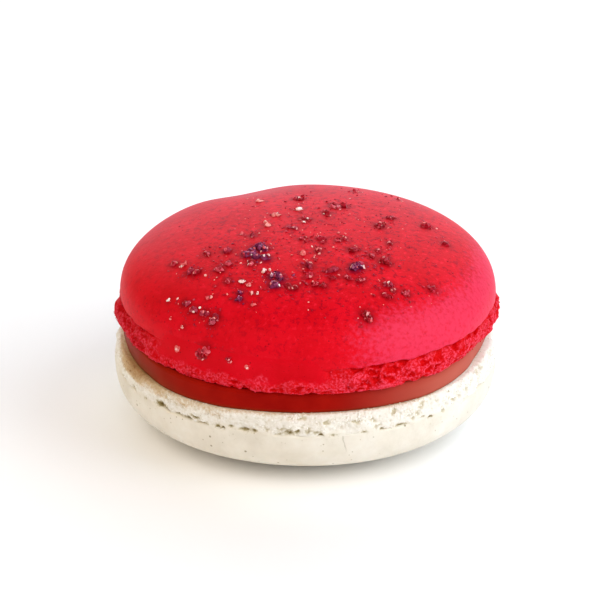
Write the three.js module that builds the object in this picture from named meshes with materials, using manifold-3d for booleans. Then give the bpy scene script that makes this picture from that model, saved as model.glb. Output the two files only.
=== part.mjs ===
// A French macaron lying on its lower shell. Two baked almond-meringue shells, each a smooth skin
// over a frilled, crumbly foot, hold a disc of ganache between their flat faces. The red shell is
// sprinkled with crushed candied violets and sugar crystals that baked into its skin. The cream
// shell is turned over, so that it rests on the crown of its dome.
// The origin is the centre of the flat spot that it rests on, and +Z is up. Lengths are millimetres.

import * as THREE from "three";
import { mergeVertices } from "three/addons/utils/BufferGeometryUtils.js";
import Module from "manifold-3d";

const TURN = 2 * Math.PI;
const DEGREE = TURN / 360;

// Thickness of each layer, from the table up.
const LOWER_DOME = 7.625;
const LOWER_FOOT = 2.625;
const FILLING = 2.75;
const UPPER_FOOT = 3.125;
const UPPER_DOME = 9;

// Heights above the table where the layers meet. A crease is the line between a foot and its skin.
const LOWER_CREASE = LOWER_DOME;
const FILLING_BOTTOM = LOWER_CREASE + LOWER_FOOT;
const FILLING_TOP = FILLING_BOTTOM + FILLING;
const UPPER_CREASE = FILLING_TOP + UPPER_FOOT;

// A shell is described dome up, with its crease at height 0 and its flat face below. skinRadius is
// the skin's at the crease. The dome is a superellipse: bulge sets how full its side is, and
// flatness how broad its crown, which is pressed flat by settled. The foot is narrow at the groove
// under the skin, swells to its fullest at a share of the way down, and ends at the rim. A swell is
// a stretch of the side that stands further out, or in where its depth is negative, round a middle
// bearing in degrees.
const UPPER_SHELL = {
  dome: UPPER_DOME,
  settled: 0,
  skinRadius: 23.4,
  bulge: 2.1,
  flatness: 2.6,
  skinRows: 10,
  foot: { height: UPPER_FOOT, groove: 22.8, fullest: 23.8, fullestAt: 0.62, rim: 23.4 },
  swells: [{ middle: -28, halfWidth: 16, depth: -1 }],
  frill: 0.34,
  pits: 34,
  seed: 11,
};
const LOWER_SHELL = {
  dome: LOWER_DOME,
  settled: 0.57,
  skinRadius: 23.95,
  bulge: 2.6,
  flatness: 3.1,
  skinRows: 9,
  foot: { height: LOWER_FOOT, groove: 23.7, fullest: 23.85, fullestAt: 0.15, rim: 23.1 },
  swells: [{ middle: 125, halfWidth: 24, depth: 0.6 }],
  frill: 0.2,
  pits: 44,
  seed: 3643,
};
const GANACHE = {
  radius: 22.95,
  rounding: 0.5,
  swells: [
    { middle: -125, halfWidth: 22, depth: 1 },
    { middle: -56, halfWidth: 15, depth: 0.4 },
    { middle: -18, halfWidth: 18, depth: -0.7 },
  ],
  waves: [3, 7],
  waveDepth: 0.06,
  turns: 60,
};

// The filling and the red shell were set down a little off the lower shell's centre.
const GANACHE_SHIFT = 0.2;
const UPPER_SHELL_SHIFT = 0.35;

// Facets of a shell
const TURNS = 108;
const FOOT_ROWS = 6;
const ARC_SAMPLES = 800;

// Uneven baking: waves in the outline, frills and pits in the foot, a dip in the red skin.
const OUTLINE_WAVES = [
  { count: 2, depth: 0.09 },
  { count: 3, depth: 0.08 },
  { count: 5, depth: 0.06 },
];
const FRILL_WAVES = [
  { count: 13, share: 0.3, twist: 1.1 },
  { count: 21, share: 0.35, twist: -2.2 },
  { count: 29, share: 0.4, twist: 3.1 },
  { count: 37, share: 0.35, twist: -2.6 },
];
const PIT = { narrow: 0.5, wide: 1.1, shallow: 0.2, deep: 0.55, reach: 0.34 };
const DIP = { x: -7.9, y: 16.6, depth: 0.68, radius: 4.7 };

// Sprinkles. Each row is a small drift: its kind, the middle and spread of it on the skin as if
// that were unrolled flat from the crown (+x right, +y back), and its grains' number and width.
const DRIFTS = [
  ["violet", -6.9, -8, 1, 5, 1.35],
  ["violet", -5.8, -6.7, 0.7, 3, 1.15],
  ["violet", -4.9, -9, 0.6, 2, 1],
  ["violet", -3.8, -13.6, 0.7, 3, 1.35],
  ["violet", -4, -15.3, 0.6, 3, 1.15],
  ["violet", -8.4, -15.6, 0.3, 1, 0.9],
  ["violet", -8.4, -16.8, 0.3, 1, 0.85],
  ["violet", -15.4, -15.5, 0.4, 2, 0.85],
  ["violet", -14.3, -16.9, 0.5, 2, 0.95],
  ["violet", -13, -17.7, 0.5, 2, 0.95],
  ["violet", -12.1, -19.1, 0.6, 3, 1],
  ["violet", -10.2, -6.5, 0.6, 2, 1],
  ["violet", 0.1, -11.5, 0.6, 2, 1.1],
  ["violet", 6, -11.1, 0.8, 4, 1.15],
  ["violet", 3, -12.2, 0.6, 2, 1.1],
  ["violet", 9.8, -14.2, 0.6, 2, 1.1],
  ["violet", -6.9, -3.1, 0.3, 1, 0.85],
  ["violet", -2.1, -1.4, 0.6, 2, 0.95],
  ["violet", -14.6, -9.7, 0.5, 2, 0.9],
  ["ruby", 3.6, 5.6, 0.9, 4, 1.1],
  ["ruby", 2.2, 3.7, 0.6, 2, 0.95],
  ["ruby", 6, 12.9, 0.5, 2, 1],
  ["ruby", 11.4, 12.2, 0.3, 1, 0.8],
  ["ruby", 10.3, 2.9, 0.4, 2, 0.85],
  ["ruby", 9.1, 0, 0.5, 2, 1],
  ["ruby", 14.6, 2.3, 0.5, 2, 1],
  ["ruby", 16.8, -1.6, 0.4, 2, 0.9],
  ["ruby", 1.4, -7.5, 0.5, 2, 0.85],
  ["ruby", 5.1, -7.3, 0.6, 3, 0.95],
  ["ruby", 7.6, -8.3, 0.4, 2, 0.85],
  ["ruby", 8.7, -6.7, 0.4, 2, 0.8],
  ["ruby", 9.8, -4.6, 0.4, 2, 0.85],
  ["ruby", 9.6, -9.3, 0.8, 3, 0.9],
  ["ruby", 0.4, -13.4, 0.5, 2, 0.95],
  ["ruby", 1.6, -14.9, 0.8, 3, 0.9],
  ["ruby", 3, -13.5, 0.4, 1, 1],
  ["ruby", 5, -13.3, 0.5, 2, 0.75],
  ["ruby", 6.6, -13.9, 0.7, 3, 0.75],
  ["ruby", 9.6, -15.8, 0.5, 2, 0.95],
  ["ruby", 10.7, -14.7, 0.4, 1, 0.9],
  ["ruby", 11.7, -14.9, 0.4, 2, 0.9],
  ["ruby", 15.1, -12.9, 0.4, 2, 0.95],
  ["ruby", 7.1, -19.7, 0.4, 2, 1],
  ["ruby", -10.6, -10.1, 0.9, 4, 1],
  ["ruby", -10.2, -13.2, 0.5, 2, 0.9],
  ["ruby", -12.4, -6.4, 0.4, 2, 0.85],
  ["ruby", -16.5, -6.9, 0.4, 1, 0.8],
  ["ruby", -13.6, -10.2, 0.5, 2, 0.8],
  ["ruby", -2.1, -15.5, 0.6, 3, 0.85],
  ["ruby", -7.5, -10.2, 0.7, 2, 0.85],
  ["ruby", -1.4, 8.1, 0.4, 2, 0.85],
  ["ruby", -0.4, 1.3, 0.6, 2, 0.9],
  ["ruby", -1, -3.9, 0.9, 2, 0.75],
  ["ruby", 1.9, -4.7, 1, 3, 0.8],
  ["ruby", 4, -4.6, 0.7, 2, 0.8],
  ["ruby", -14.6, -22.7, 0.9, 4, 1.1],
  ["ruby", -11.1, -24.6, 0.4, 2, 0.85],
  ["sugar", -8, -13.7, 0.2, 1, 1.2],
  ["sugar", -7.1, -14.3, 0.4, 2, 0.7],
  ["sugar", -5.3, -12, 0.2, 1, 1.15],
  ["sugar", -5.2, -0.5, 0.2, 1, 1],
  ["sugar", -4, 2.5, 0.4, 2, 0.8],
  ["sugar", -1.3, 4.7, 0.4, 2, 1.05],
  ["sugar", -7.9, -2.3, 0.3, 1, 0.8],
  ["sugar", -15.4, -8, 0.4, 2, 0.85],
  ["sugar", -6.7, -18.3, 0.2, 1, 0.8],
  ["sugar", -0.8, -8.5, 0.3, 1, 0.9],
  ["sugar", -5.8, 8.4, 1, 3, 0.75],
  ["sugar", -17.6, -13.7, 0.1, 1, 0.65],
  ["sugar", -16.3, -18.3, 0.1, 1, 0.6],
  ["sugar", -17.8, -16.5, 0.2, 1, 0.55],
  ["sugar", -18.4, -20.1, 0.1, 1, 1.05],
  ["sugar", -12.2, -15.6, 0.4, 2, 0.6],
  ["sugar", -6.4, -16.1, 0.6, 2, 0.6],
  ["sugar", 9.3, 0.9, 0.2, 1, 0.75],
  ["sugar", 14.7, 3.6, 0.3, 1, 0.7],
  ["sugar", 1.3, -7.3, 0.2, 1, 0.8],
  ["sugar", 6.4, -10.8, 0.2, 1, 0.8],
  ["sugar", 3, -11.6, 0.3, 1, 0.6],
  ["sugar", -8.6, -26, 0.1, 1, 0.8],
  ["sugar", 10.1, -13.7, 0.4, 2, 0.6],
  ["sugar", 7, -19.3, 0.2, 1, 0.6],
  ["sugar", -0.8, 0.1, 0.3, 1, 0.6],
];
// What a grain of each kind is: a lump of candied violet, a shard of petal or a crystal of sugar,
// with its breadth and height as shares of its width.
const GRAIN_KINDS = {
  violet: { shape: THREE.IcosahedronGeometry, breadth: 0.8, height: 0.62 },
  ruby: { shape: THREE.OctahedronGeometry, breadth: 0.85, height: 0.55 },
  sugar: { shape: THREE.OctahedronGeometry, breadth: 0.8, height: 0.7 },
};
const GRAIN_SUNK = 0.38; // share of a grain's height that lies below the skin
const GRAIN_SMALLEST = 0.75; // of its drift's width
const GRAIN_LARGEST = 1.2;
const GRAIN_LUMPS = 0.2; // how far a grain's corners stand in or out, as a share of its size
const GRAIN_LEAN = 0.4; // radians
const SPRINKLE_SEED = 5; // sets where the grains lie
const GRAIN_FORM_SEED = 8;

const RED = 0xd8141f;
const CREAM = 0xe9e2d2;
const BROWN = 0x96301f;

// Even draws from 0 to 1, the same on every run.
function drawsFrom(seed) {
  let state = seed;
  return () => {
    state = (Math.imul(state, 1664525) + 1013904223) >>> 0;
    return state / 2 ** 32;
  };
}

// The turn from one bearing to another, between half a turn back and half a turn on.
function turnBetween(from, to) {
  return THREE.MathUtils.euclideanModulo(to - from + Math.PI, TURN) - Math.PI;
}

function swellAt(swells, bearing) {
  return swells.reduce((sum, { middle, halfWidth, depth }) => {
    const beside = turnBetween(middle * DEGREE, bearing) / (halfWidth * DEGREE);
    return sum + depth * Math.exp(-(beside ** 2));
  }, 0);
}

// How far a shell's outline stands in or out at each bearing round it.
function outlineOf(shell) {
  const draw = drawsFrom(shell.seed);
  const waves = OUTLINE_WAVES.map((wave) => ({ ...wave, phase: TURN * draw() }));
  return (bearing) =>
    waves.reduce((sum, { count, depth, phase }) => sum + depth * Math.cos(count * bearing + phase), 0);
}

// The crags of a foot at a bearing and a share of the way down it: swells, frills, and pits in its
// groove.
function cragsOf(shell) {
  const draw = drawsFrom(shell.seed + 1);
  const waves = FRILL_WAVES.map((wave) => ({ ...wave, phase: TURN * draw() }));
  const pits = Array.from({ length: shell.pits }, () => ({
    bearing: TURN * draw(),
    halfWidth: THREE.MathUtils.lerp(PIT.narrow, PIT.wide, draw()),
    depth: THREE.MathUtils.lerp(PIT.shallow, PIT.deep, draw()),
  }));
  return (bearing, down) => {
    const fullness = shell.frill * Math.sqrt(Math.sin(Math.PI * down));
    let crags = swellAt(shell.swells, bearing) * down;
    for (const { count, share, twist, phase } of waves) {
      crags += fullness * share * Math.cos(count * bearing + phase + twist * down);
    }
    for (const { bearing: middle, halfWidth, depth } of pits) {
      const beside = (turnBetween(middle, bearing) * shell.skinRadius) / halfWidth;
      crags -= depth * Math.exp(-(beside ** 2) - (down / PIT.reach) ** 2);
    }
    return crags;
  };
}

// The skin's radius and height at a lean of 0 on the crown to a quarter turn at the crease.
function skinAt(shell, lean) {
  const crown = shell.dome + shell.settled;
  const height = crown * Math.cos(lean) ** (2 / shell.flatness);
  return {
    radius: shell.skinRadius * Math.sin(lean) ** (2 / shell.bulge),
    height: Math.min(height, shell.dome),
  };
}

// The foot's radius at a share of the way down from the groove to the flat face.
function footRadius({ groove, fullest, fullestAt, rim }, down) {
  if (down < fullestAt) {
    return groove + (fullest - groove) * Math.sin((TURN / 4) * (down / fullestAt));
  }
  const past = (down - fullestAt) / (1 - fullestAt);
  return rim + (fullest - rim) * Math.sqrt(1 - past * past);
}

// The profile of a shell from the middle of its flat face, round the foot and up to the crown.
function shellProfile(shell) {
  const profile = [{ radius: 0, height: -shell.foot.height }];
  for (let row = FOOT_ROWS; row >= 0; row--) {
    const down = row / FOOT_ROWS;
    profile.push({ radius: footRadius(shell.foot, down), height: -shell.foot.height * down, down });
  }
  for (let row = shell.skinRows; row > 0; row--) {
    profile.push(skinAt(shell, (TURN / 4) * (row / shell.skinRows)));
  }
  profile.push({ radius: 0, height: shell.dome });
  return profile;
}

// A profile turned about +Z, then pushed out from the axis by rule(bearing, station).
function turned(profile, turns, rule) {
  const outline = profile.map(({ radius, height }) => new THREE.Vector2(radius, height));
  const geometry = new THREE.LatheGeometry(outline, turns).rotateX(TURN / 4);
  const position = geometry.getAttribute("position");
  const uv = geometry.getAttribute("uv");
  for (let i = 0; i < position.count; i++) {
    const station = profile[Math.round(uv.getY(i) * (profile.length - 1))];
    if (station.radius > 0) {
      const bearing = Math.atan2(position.getY(i), position.getX(i));
      const stretch = 1 + rule(bearing, station) / station.radius;
      position.setXY(i, position.getX(i) * stretch, position.getY(i) * stretch);
    }
  }
  return geometry;
}

function shellGeometry(shell) {
  const outline = outlineOf(shell);
  const crags = cragsOf(shell);
  return turned(shellProfile(shell), TURNS, (bearing, { radius, down }) => {
    const outward = outline(bearing) * (radius / shell.skinRadius);
    return down === undefined ? outward : outward + crags(bearing, down);
  });
}

function dipAt(x, y) {
  const away = Math.hypot(x - DIP.x, y - DIP.y) / DIP.radius;
  return DIP.depth * Math.exp(-(away ** 2));
}

function pressDip(geometry) {
  const position = geometry.getAttribute("position");
  for (let i = 0; i < position.count; i++) {
    if (position.getZ(i) > 0) {
      position.setZ(i, position.getZ(i) - dipAt(position.getX(i), position.getY(i)));
    }
  }
  return geometry;
}

// Points down the skin from the crown to the crease, each with its distance along the skin.
function skinPath(shell) {
  const path = [{ ...skinAt(shell, 0), along: 0 }];
  for (let i = 1; i <= ARC_SAMPLES; i++) {
    const above = path.at(-1);
    const here = skinAt(shell, (TURN / 4) * (i / ARC_SAMPLES));
    const step = Math.hypot(here.radius - above.radius, here.height - above.height);
    path.push({ ...here, along: above.along + step });
  }
  return path;
}

// The point of the skin at a place on the unrolled skin, and the way the skin faces there.
function skinPlace(shell, path, x, y) {
  const along = Math.min(Math.hypot(x, y), path.at(-1).along);
  const after = Math.max(1, path.findIndex((point) => point.along >= along));
  const [above, below] = [path[after - 1], path[after]];
  const share = (along - above.along) / (below.along - above.along);
  const bearing = Math.atan2(y, x);
  const radius = THREE.MathUtils.lerp(above.radius, below.radius, share);
  const outward = radius * (1 + outlineOf(shell)(bearing) / shell.skinRadius);
  const point = new THREE.Vector3(outward * Math.cos(bearing), outward * Math.sin(bearing), 0);
  point.z = THREE.MathUtils.lerp(above.height, below.height, share) - dipAt(point.x, point.y);
  const slope = new THREE.Vector2(above.height - below.height, below.radius - above.radius).normalize();
  const facing = new THREE.Vector3(slope.x * Math.cos(bearing), slope.x * Math.sin(bearing), slope.y);
  return { point, facing };
}

// A lumpy grain that lies on the skin at a place, sunk into it.
function grainGeometry({ shape, breadth, height }, width, { point, facing }, draw) {
  const grain = closedSurface(new shape(0.5));
  const position = grain.getAttribute("position");
  for (let i = 0; i < position.count; i++) {
    const lump = 1 + GRAIN_LUMPS * (2 * draw() - 1);
    position.setXYZ(i, position.getX(i) * lump, position.getY(i) * lump, position.getZ(i) * lump);
  }
  const upright = new THREE.Quaternion().setFromUnitVectors(new THREE.Vector3(0, 0, 1), facing);
  const middle = point.clone().addScaledVector(facing, width * height * (0.5 - GRAIN_SUNK));
  return grain
    .scale(width, width * breadth, width * height)
    .rotateX(GRAIN_LEAN * (draw() - 0.5))
    .rotateZ(TURN * draw())
    .applyQuaternion(upright)
    .translate(middle.x, middle.y, middle.z);
}

function sprinkles(shell) {
  const path = skinPath(shell);
  const place = drawsFrom(SPRINKLE_SEED);
  const form = drawsFrom(GRAIN_FORM_SEED);
  const grains = [];
  for (const [kind, x, y, spread, count, width] of DRIFTS) {
    for (let i = 0; i < count; i++) {
      const bearing = TURN * place();
      const away = spread * Math.sqrt(place());
      const grainWidth = width * THREE.MathUtils.lerp(GRAIN_SMALLEST, GRAIN_LARGEST, place());
      const lies = skinPlace(shell, path, x + away * Math.cos(bearing), y + away * Math.sin(bearing));
      grains.push(grainGeometry(GRAIN_KINDS[kind], grainWidth, lies, form));
    }
  }
  return grains;
}

// A disc of ganache with rounded edges and a wavy side, squeezed out further here than there.
function ganacheGeometry() {
  const { radius, rounding, swells, waves, waveDepth, turns } = GANACHE;
  const inner = { radius: radius - rounding };
  const shoulder = { radius: radius - rounding * (1 - Math.SQRT1_2) };
  const cut = rounding * (1 - Math.SQRT1_2);
  const profile = [
    { radius: 0, height: 0 },
    { ...inner, height: 0 },
    { ...shoulder, height: cut },
    { radius, height: FILLING / 2 },
    { ...shoulder, height: FILLING - cut },
    { ...inner, height: FILLING },
    { radius: 0, height: FILLING },
  ];
  return turned(profile, turns, (bearing) =>
    waves.reduce((sum, count) => sum - waveDepth * Math.cos(count * bearing), swellAt(swells, bearing)),
  );
}

// The same surface with its triangles sharing their corners, so that it is closed.
function closedSurface(geometry) {
  const bare = geometry.clone();
  bare.deleteAttribute("normal");
  bare.deleteAttribute("uv");
  return mergeVertices(bare, 1e-4);
}

function solidOf(wasm, geometry) {
  const closed = closedSurface(geometry);
  const vertProperties = new Float32Array(closed.getAttribute("position").array);
  const triVerts = new Uint32Array(closed.index.array);
  return new wasm.Manifold(new wasm.Mesh({ numProp: 3, vertProperties, triVerts }));
}

// Joins the grains to the shell that they are baked into.
async function fused(shell, grains) {
  const wasm = await Module();
  wasm.setup();
  let solid = solidOf(wasm, shell);
  for (const grain of grains) {
    solid = solid.add(solidOf(wasm, grain));
  }
  const { vertProperties, triVerts } = solid.getMesh();
  const geometry = new THREE.BufferGeometry();
  geometry.setAttribute("position", new THREE.BufferAttribute(vertProperties, 3));
  geometry.setIndex(new THREE.BufferAttribute(triVerts, 1));
  return geometry;
}

function piece(name, geometry, color, roughness) {
  const mesh = new THREE.Mesh(geometry, new THREE.MeshStandardMaterial({ color, roughness, metalness: 0 }));
  mesh.name = name;
  return mesh;
}

const sprinkledShell = await fused(pressDip(shellGeometry(UPPER_SHELL)), sprinkles(UPPER_SHELL));
const redShell = piece("red_shell", sprinkledShell, RED, 0.5);
redShell.position.set(UPPER_SHELL_SHIFT, 0, UPPER_CREASE);

const filling = piece("ganache_filling", ganacheGeometry(), BROWN, 0.35);
filling.position.set(GANACHE_SHIFT, 0, FILLING_BOTTOM);

const creamShell = piece("cream_shell", shellGeometry(LOWER_SHELL).rotateX(TURN / 2), CREAM, 0.6);
creamShell.position.z = LOWER_CREASE;

const macaron = new THREE.Group();
macaron.add(creamShell, filling, redShell);

export default macaron;
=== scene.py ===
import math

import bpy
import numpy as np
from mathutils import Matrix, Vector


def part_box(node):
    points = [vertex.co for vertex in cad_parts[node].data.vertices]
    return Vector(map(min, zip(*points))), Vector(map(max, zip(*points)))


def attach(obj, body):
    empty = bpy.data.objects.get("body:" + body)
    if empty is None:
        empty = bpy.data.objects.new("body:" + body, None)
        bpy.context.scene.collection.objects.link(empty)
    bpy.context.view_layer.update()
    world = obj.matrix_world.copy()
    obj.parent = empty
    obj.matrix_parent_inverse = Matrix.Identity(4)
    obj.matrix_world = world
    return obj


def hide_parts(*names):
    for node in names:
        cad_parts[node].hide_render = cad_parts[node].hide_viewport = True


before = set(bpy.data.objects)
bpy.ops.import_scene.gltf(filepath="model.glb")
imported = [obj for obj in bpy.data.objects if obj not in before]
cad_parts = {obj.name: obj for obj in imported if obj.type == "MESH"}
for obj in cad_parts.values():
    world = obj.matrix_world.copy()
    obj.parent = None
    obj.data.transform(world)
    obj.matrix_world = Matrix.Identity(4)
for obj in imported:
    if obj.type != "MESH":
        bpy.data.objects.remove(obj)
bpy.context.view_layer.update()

# The looks of a French macaron: a red meringue shell sprinkled with crushed candied petals, a disc
# of ganache, and a cream shell turned over beneath it. Shapes are worked out in millimetres, and a
# shell is described dome up, with the crease between its foot and its skin at height 0. A bearing
# is an angle round +Z from +X.

MM = 0.001
TURN = 2 * math.pi

# --- Sizes ---------------------------------------------------------------------------------------

filling_low, filling_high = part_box("ganache_filling")
FILLING_BOTTOM = filling_low.z / MM
FILLING_TOP = filling_high.z / MM
UPPER_FOOT = 3.125
LOWER_FOOT = 2.625
UPPER_CREASE = FILLING_TOP + UPPER_FOOT
LOWER_CREASE = FILLING_BOTTOM - LOWER_FOOT
UPPER_SHELL_SHIFT = 0.35

# A swell is a stretch of a side that stands further out, or in where its depth is negative: its
# middle and half-width in degrees of bearing, and its depth. The filling's rounding has one share of
# its size at the lower edge and another at the upper. A shell has the height of its dome and how much
# more it had before it settled flat, the powers that round its side and its top, and its foot.
GANACHE = {
    "radius": 22.95,
    "shift": 0.2,
    "rounding": 0.45,
    "rounded": (0.35, 1.0),
    "inset": 0.1,
    "belly": 0.12,
    "swells": [(-125, 22, 1.0), (-56, 15, 0.4), (-18, 18, -0.7)],
    "waves": [(3, 0.06), (7, 0.06), (17, 0.03), (29, 0.02)],
    "seed": 71,
    "turns": 720,
    "rows": 24,
}
UPPER_SHELL = {
    "dome": 9.0,
    "settled": 0.0,
    "skin_radius": 23.4,
    "bulge": 2.1,
    "flatness": 2.6,
    "foot": {"height": UPPER_FOOT, "groove": 23.15, "fullest": 23.8, "fullest_at": 0.62, "rim": 23.4},
    "swells": [(-28, 16, -1.0)],
    "frill": 0.34,
    "pits": 34,
    "seed": 11,
    "skin_rows": 104,
}
LOWER_SHELL = {
    "dome": LOWER_CREASE,
    "settled": 0.57,
    "skin_radius": 23.95,
    "bulge": 2.6,
    "flatness": 3.1,
    "foot": {"height": LOWER_FOOT, "groove": 23.7, "fullest": 23.85, "fullest_at": 0.15, "rim": 23.1},
    "swells": [(125, 24, 0.6)],
    "frill": 0.2,
    "pits": 44,
    "seed": 3643,
    "skin_rows": 60,
}

# Uneven baking, as in the solids, but for the pits, which are shallower here because the crumb
# relief adds its own: waves in the outline, frills and pits in the foot, a dip.
OUTLINE_WAVES = [(2, 0.09), (3, 0.08), (5, 0.06)]  # count round the shell, depth
FRILL_WAVES = [(13, 0.3, 1.1), (21, 0.35, -2.2), (29, 0.4, 3.1), (37, 0.35, -2.6)]  # and twist
PIT_HALF_WIDTHS = (0.5, 1.1)
PIT_DEPTHS = (0.1, 0.3)
PIT_REACH = 0.34
DIP = {"x": -7.9, "y": 16.6, "depth": 0.68, "radius": 4.7}
DIP_FADE = 2.0  # the dip fades in over this height above the crease

# Fine surface: the skin's edge is a small round lip that rides up and down over the foot.
SKIN_TURNS = 720
FOOT_TURNS = 1440
FOOT_ROWS = 46
LIP_RADIUS = 0.25
LIP_ROWS = 5
LIP_WAVES = [(5, 0.07), (9, 0.06), (14, 0.06), (23, 0.07), (41, 0.06), (67, 0.05)]
LIP_WAVE_REACH = 1.4
TUCK_HEIGHTS = (0.2, 0.5, 0.9, 1.4, 1.9)  # rings of the foot that lie up inside the skin
TUCK_PROUD = (0.03, 0.03, 0.02, 0.0, -0.05)  # how far they stand out where skin and foot are one
FACE_INSET = 1.2  # the flat face of a foot ends this far inside its rim
RIM_CRUMBLY = 0.55  # how crumbly the rim is, as a share of the rest of the foot
RIM_RISE = 3  # how fast that rises from the rim, for each height of the foot
LITTER = (0.35, 1.0)  # loose crumbs on the upper and on the lower part of a foot
LITTER_RISE = (0.35, 0.65)  # how far down the foot they turn thicker

# Where the red skin baked into one with its foot: middle and half-width of each stretch in degrees
# of bearing, and how many degrees it takes to fade out on either side.
FLUSH_STRETCHES = [(-113, 31), (38, 14), (131, 17)]
FLUSH_EDGE = 8

# How far down such a foot the skin runs, as shares of the foot's height: on average for the red
# shell, the fade from skin to crumb, and the waves of that line, on both shells.
FLUSH_REACH = 0.6
FLUSH_FADE = 0.16
FLUSH_WAVES = [(11, 0.08), (19, 0.07), (34, 0.06)]
FLUSH_MOISTER = 0.25  # how much less of the crumb dried pale on a flush stretch

# Pits that burst open in the cream foot near its crease: bearing in degrees, distance from the
# crease, half-width, half-height, and how deep each is and how dark its painted shade, as a share of
# the worst.
CREASE_PITS = [
    (-152.3, 0.08, 0.4, 0.41, 0.7),
    (-145, 0.1, 0.26, 0.21, 0.5),
    (-137.6, 0.48, 0.74, 0.34, 1),
    (-135.9, 0.08, 0.36, 0.28, 0.5),
    (-130.5, 0.15, 0.49, 0.28, 0.6),
    (-126.7, 0.24, 0.62, 0.21, 0.8),
    (-123.8, 0.73, 0.6, 0.21, 0.8),
    (-121.4, 0.08, 0.51, 0.21, 0.7),
    (-116.3, 0.08, 0.35, 0.28, 0.8),
    (-114.7, 0.08, 0.21, 0.21, 0.9),
    (-116, 1.41, 0.21, 0.21, 0.4),
    (-127.8, 1.6, 0.24, 0.28, 0.4),
    (-112.1, 0.52, 0.27, 0.17, 0.7),
    (-107.8, 0.3, 0.66, 0.17, 0.8),
    (-105.1, 0.32, 0.32, 0.17, 0.8),
    (-101.5, 0.63, 0.38, 0.28, 0.35),
    (-97.7, 0.08, 0.25, 0.17, 0.5),
    (-94.8, 0.43, 0.44, 0.34, 0.8),
    (-92.5, 0.6, 0.38, 0.28, 0.7),
    (-85.6, 0.08, 0.25, 0.28, 0.9),
    (-87, 0.46, 0.38, 0.17, 0.6),
    (-82.1, 0.08, 0.38, 0.14, 0.5),
    (-72.9, 0.08, 0.33, 0.17, 0.6),
    (-67.3, 0.08, 0.27, 0.21, 0.5),
    (-67.9, 0.66, 0.2, 0.11, 0.5),
    (-61.1, 0.08, 0.71, 0.25, 0.7),
    (-51.1, 0.08, 0.32, 0.17, 0.9),
    (-53.7, 0.43, 0.31, 0.14, 0.4),
    (-45.9, 0.18, 0.26, 0.17, 0.6),
    (-53.1, 2.11, 0.19, 0.14, 0.4),
    (-42.5, 2.13, 0.19, 0.14, 0.4),
    (-34.4, 0.08, 0.33, 0.14, 0.25),
    (-26.2, 0.08, 0.34, 0.14, 0.2),
]
CREASE_PIT_DEPTH = 0.35
PIT_SPREAD = 1.25  # a pit's soft edge makes it this much wider and higher than listed

# More of them round the back, drawn between limits for the same five values.
CREASE_PITS_BEHIND = {
    "count": 34,
    "limits": [(0, 195), (0.08, 0.8), (0.2, 0.7), (0.14, 0.34), (0.4, 1.0)],
    "seed": 61,
}

# Where the cream skin and its foot part at the crease: waves of the bearing, and the sums at which
# the crease starts to open and is fully open. Elsewhere the skin runs down a share of the foot.
CREASE_WAVES = [(6, 0.4), (11, 0.35), (19, 0.3)]
CREASE_OPENS = (0.1, 0.6)
CREAM_REACH = 0.14

# A hairline crack in the cream skin, from the crease down.
CRACK = {"x": 4.4, "slant": 0.25, "wander": 0.5, "length": 2.7, "half_width": 0.1}

# Where the filling's juice browned the cream foot: a patch by bearing and half-width in degrees, and
# a thin line all round. Both spread from the filling's side, up to the heights between which they
# fade, and the patch goes further and is stronger.
STAIN = {
    "bearing": -155,
    "half_width": 14,
    "reach": 0.3,
    "patch_reach": 0.75,
    "fades": (-0.8, -1.8),
    "strength": 0.42,
    "patch_strength": 0.7,
}

# Where the filling's side is painted a lighter salmon, standing in for the light and reflections
# from the right: bearings that fade in and out, in degrees, and how much less so near its upper
# edge, between two shares of its thickness, which is painted shade under the red foot.
LIT_SIDE = {"from": (-84, -36), "to": (60, 20), "less": 0.3, "above": (0.55, 0.95)}

# Where the filling dried brown: along its lower edge, and over the stain's patch, which is wider on
# the filling by some degrees and darker toward the bottom.
DRIED = {
    "edge": 0.45,
    "edge_fades": (0.22, 0),
    "patch": 0.35,
    "patch_low": 0.35,
    "patch_fades": (0.7, 0.1),
    "wider": 8,
}

# Crumb: how deep, how large its hollows and how flat they are, what share of the cells sank, how
# much of the depth is fine, and how many loose crumbs there are to the square metre, of which radii.
RED_RELIEF = {
    "Depth": 0.42 * MM,
    "Cell": 1.9 * MM,
    "Squash": 1.7,
    "Hollows": 0.62,
    "Fineness": 0.28,
    "Seed": 3.0,
}
RED_CRUMBS = {"Density": 7e6, "Smallest": 0.05 * MM, "Largest": 0.14 * MM, "Seed": 4.0}
CREAM_RELIEF = {
    "Depth": 0.2 * MM,
    "Cell": 1.1 * MM,
    "Squash": 1.3,
    "Hollows": 0.16,
    "Fineness": 0.5,
    "Seed": 7.0,
}
CREAM_CRUMBS = {"Density": 9e6, "Smallest": 0.05 * MM, "Largest": 0.15 * MM, "Seed": 8.0}

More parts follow.
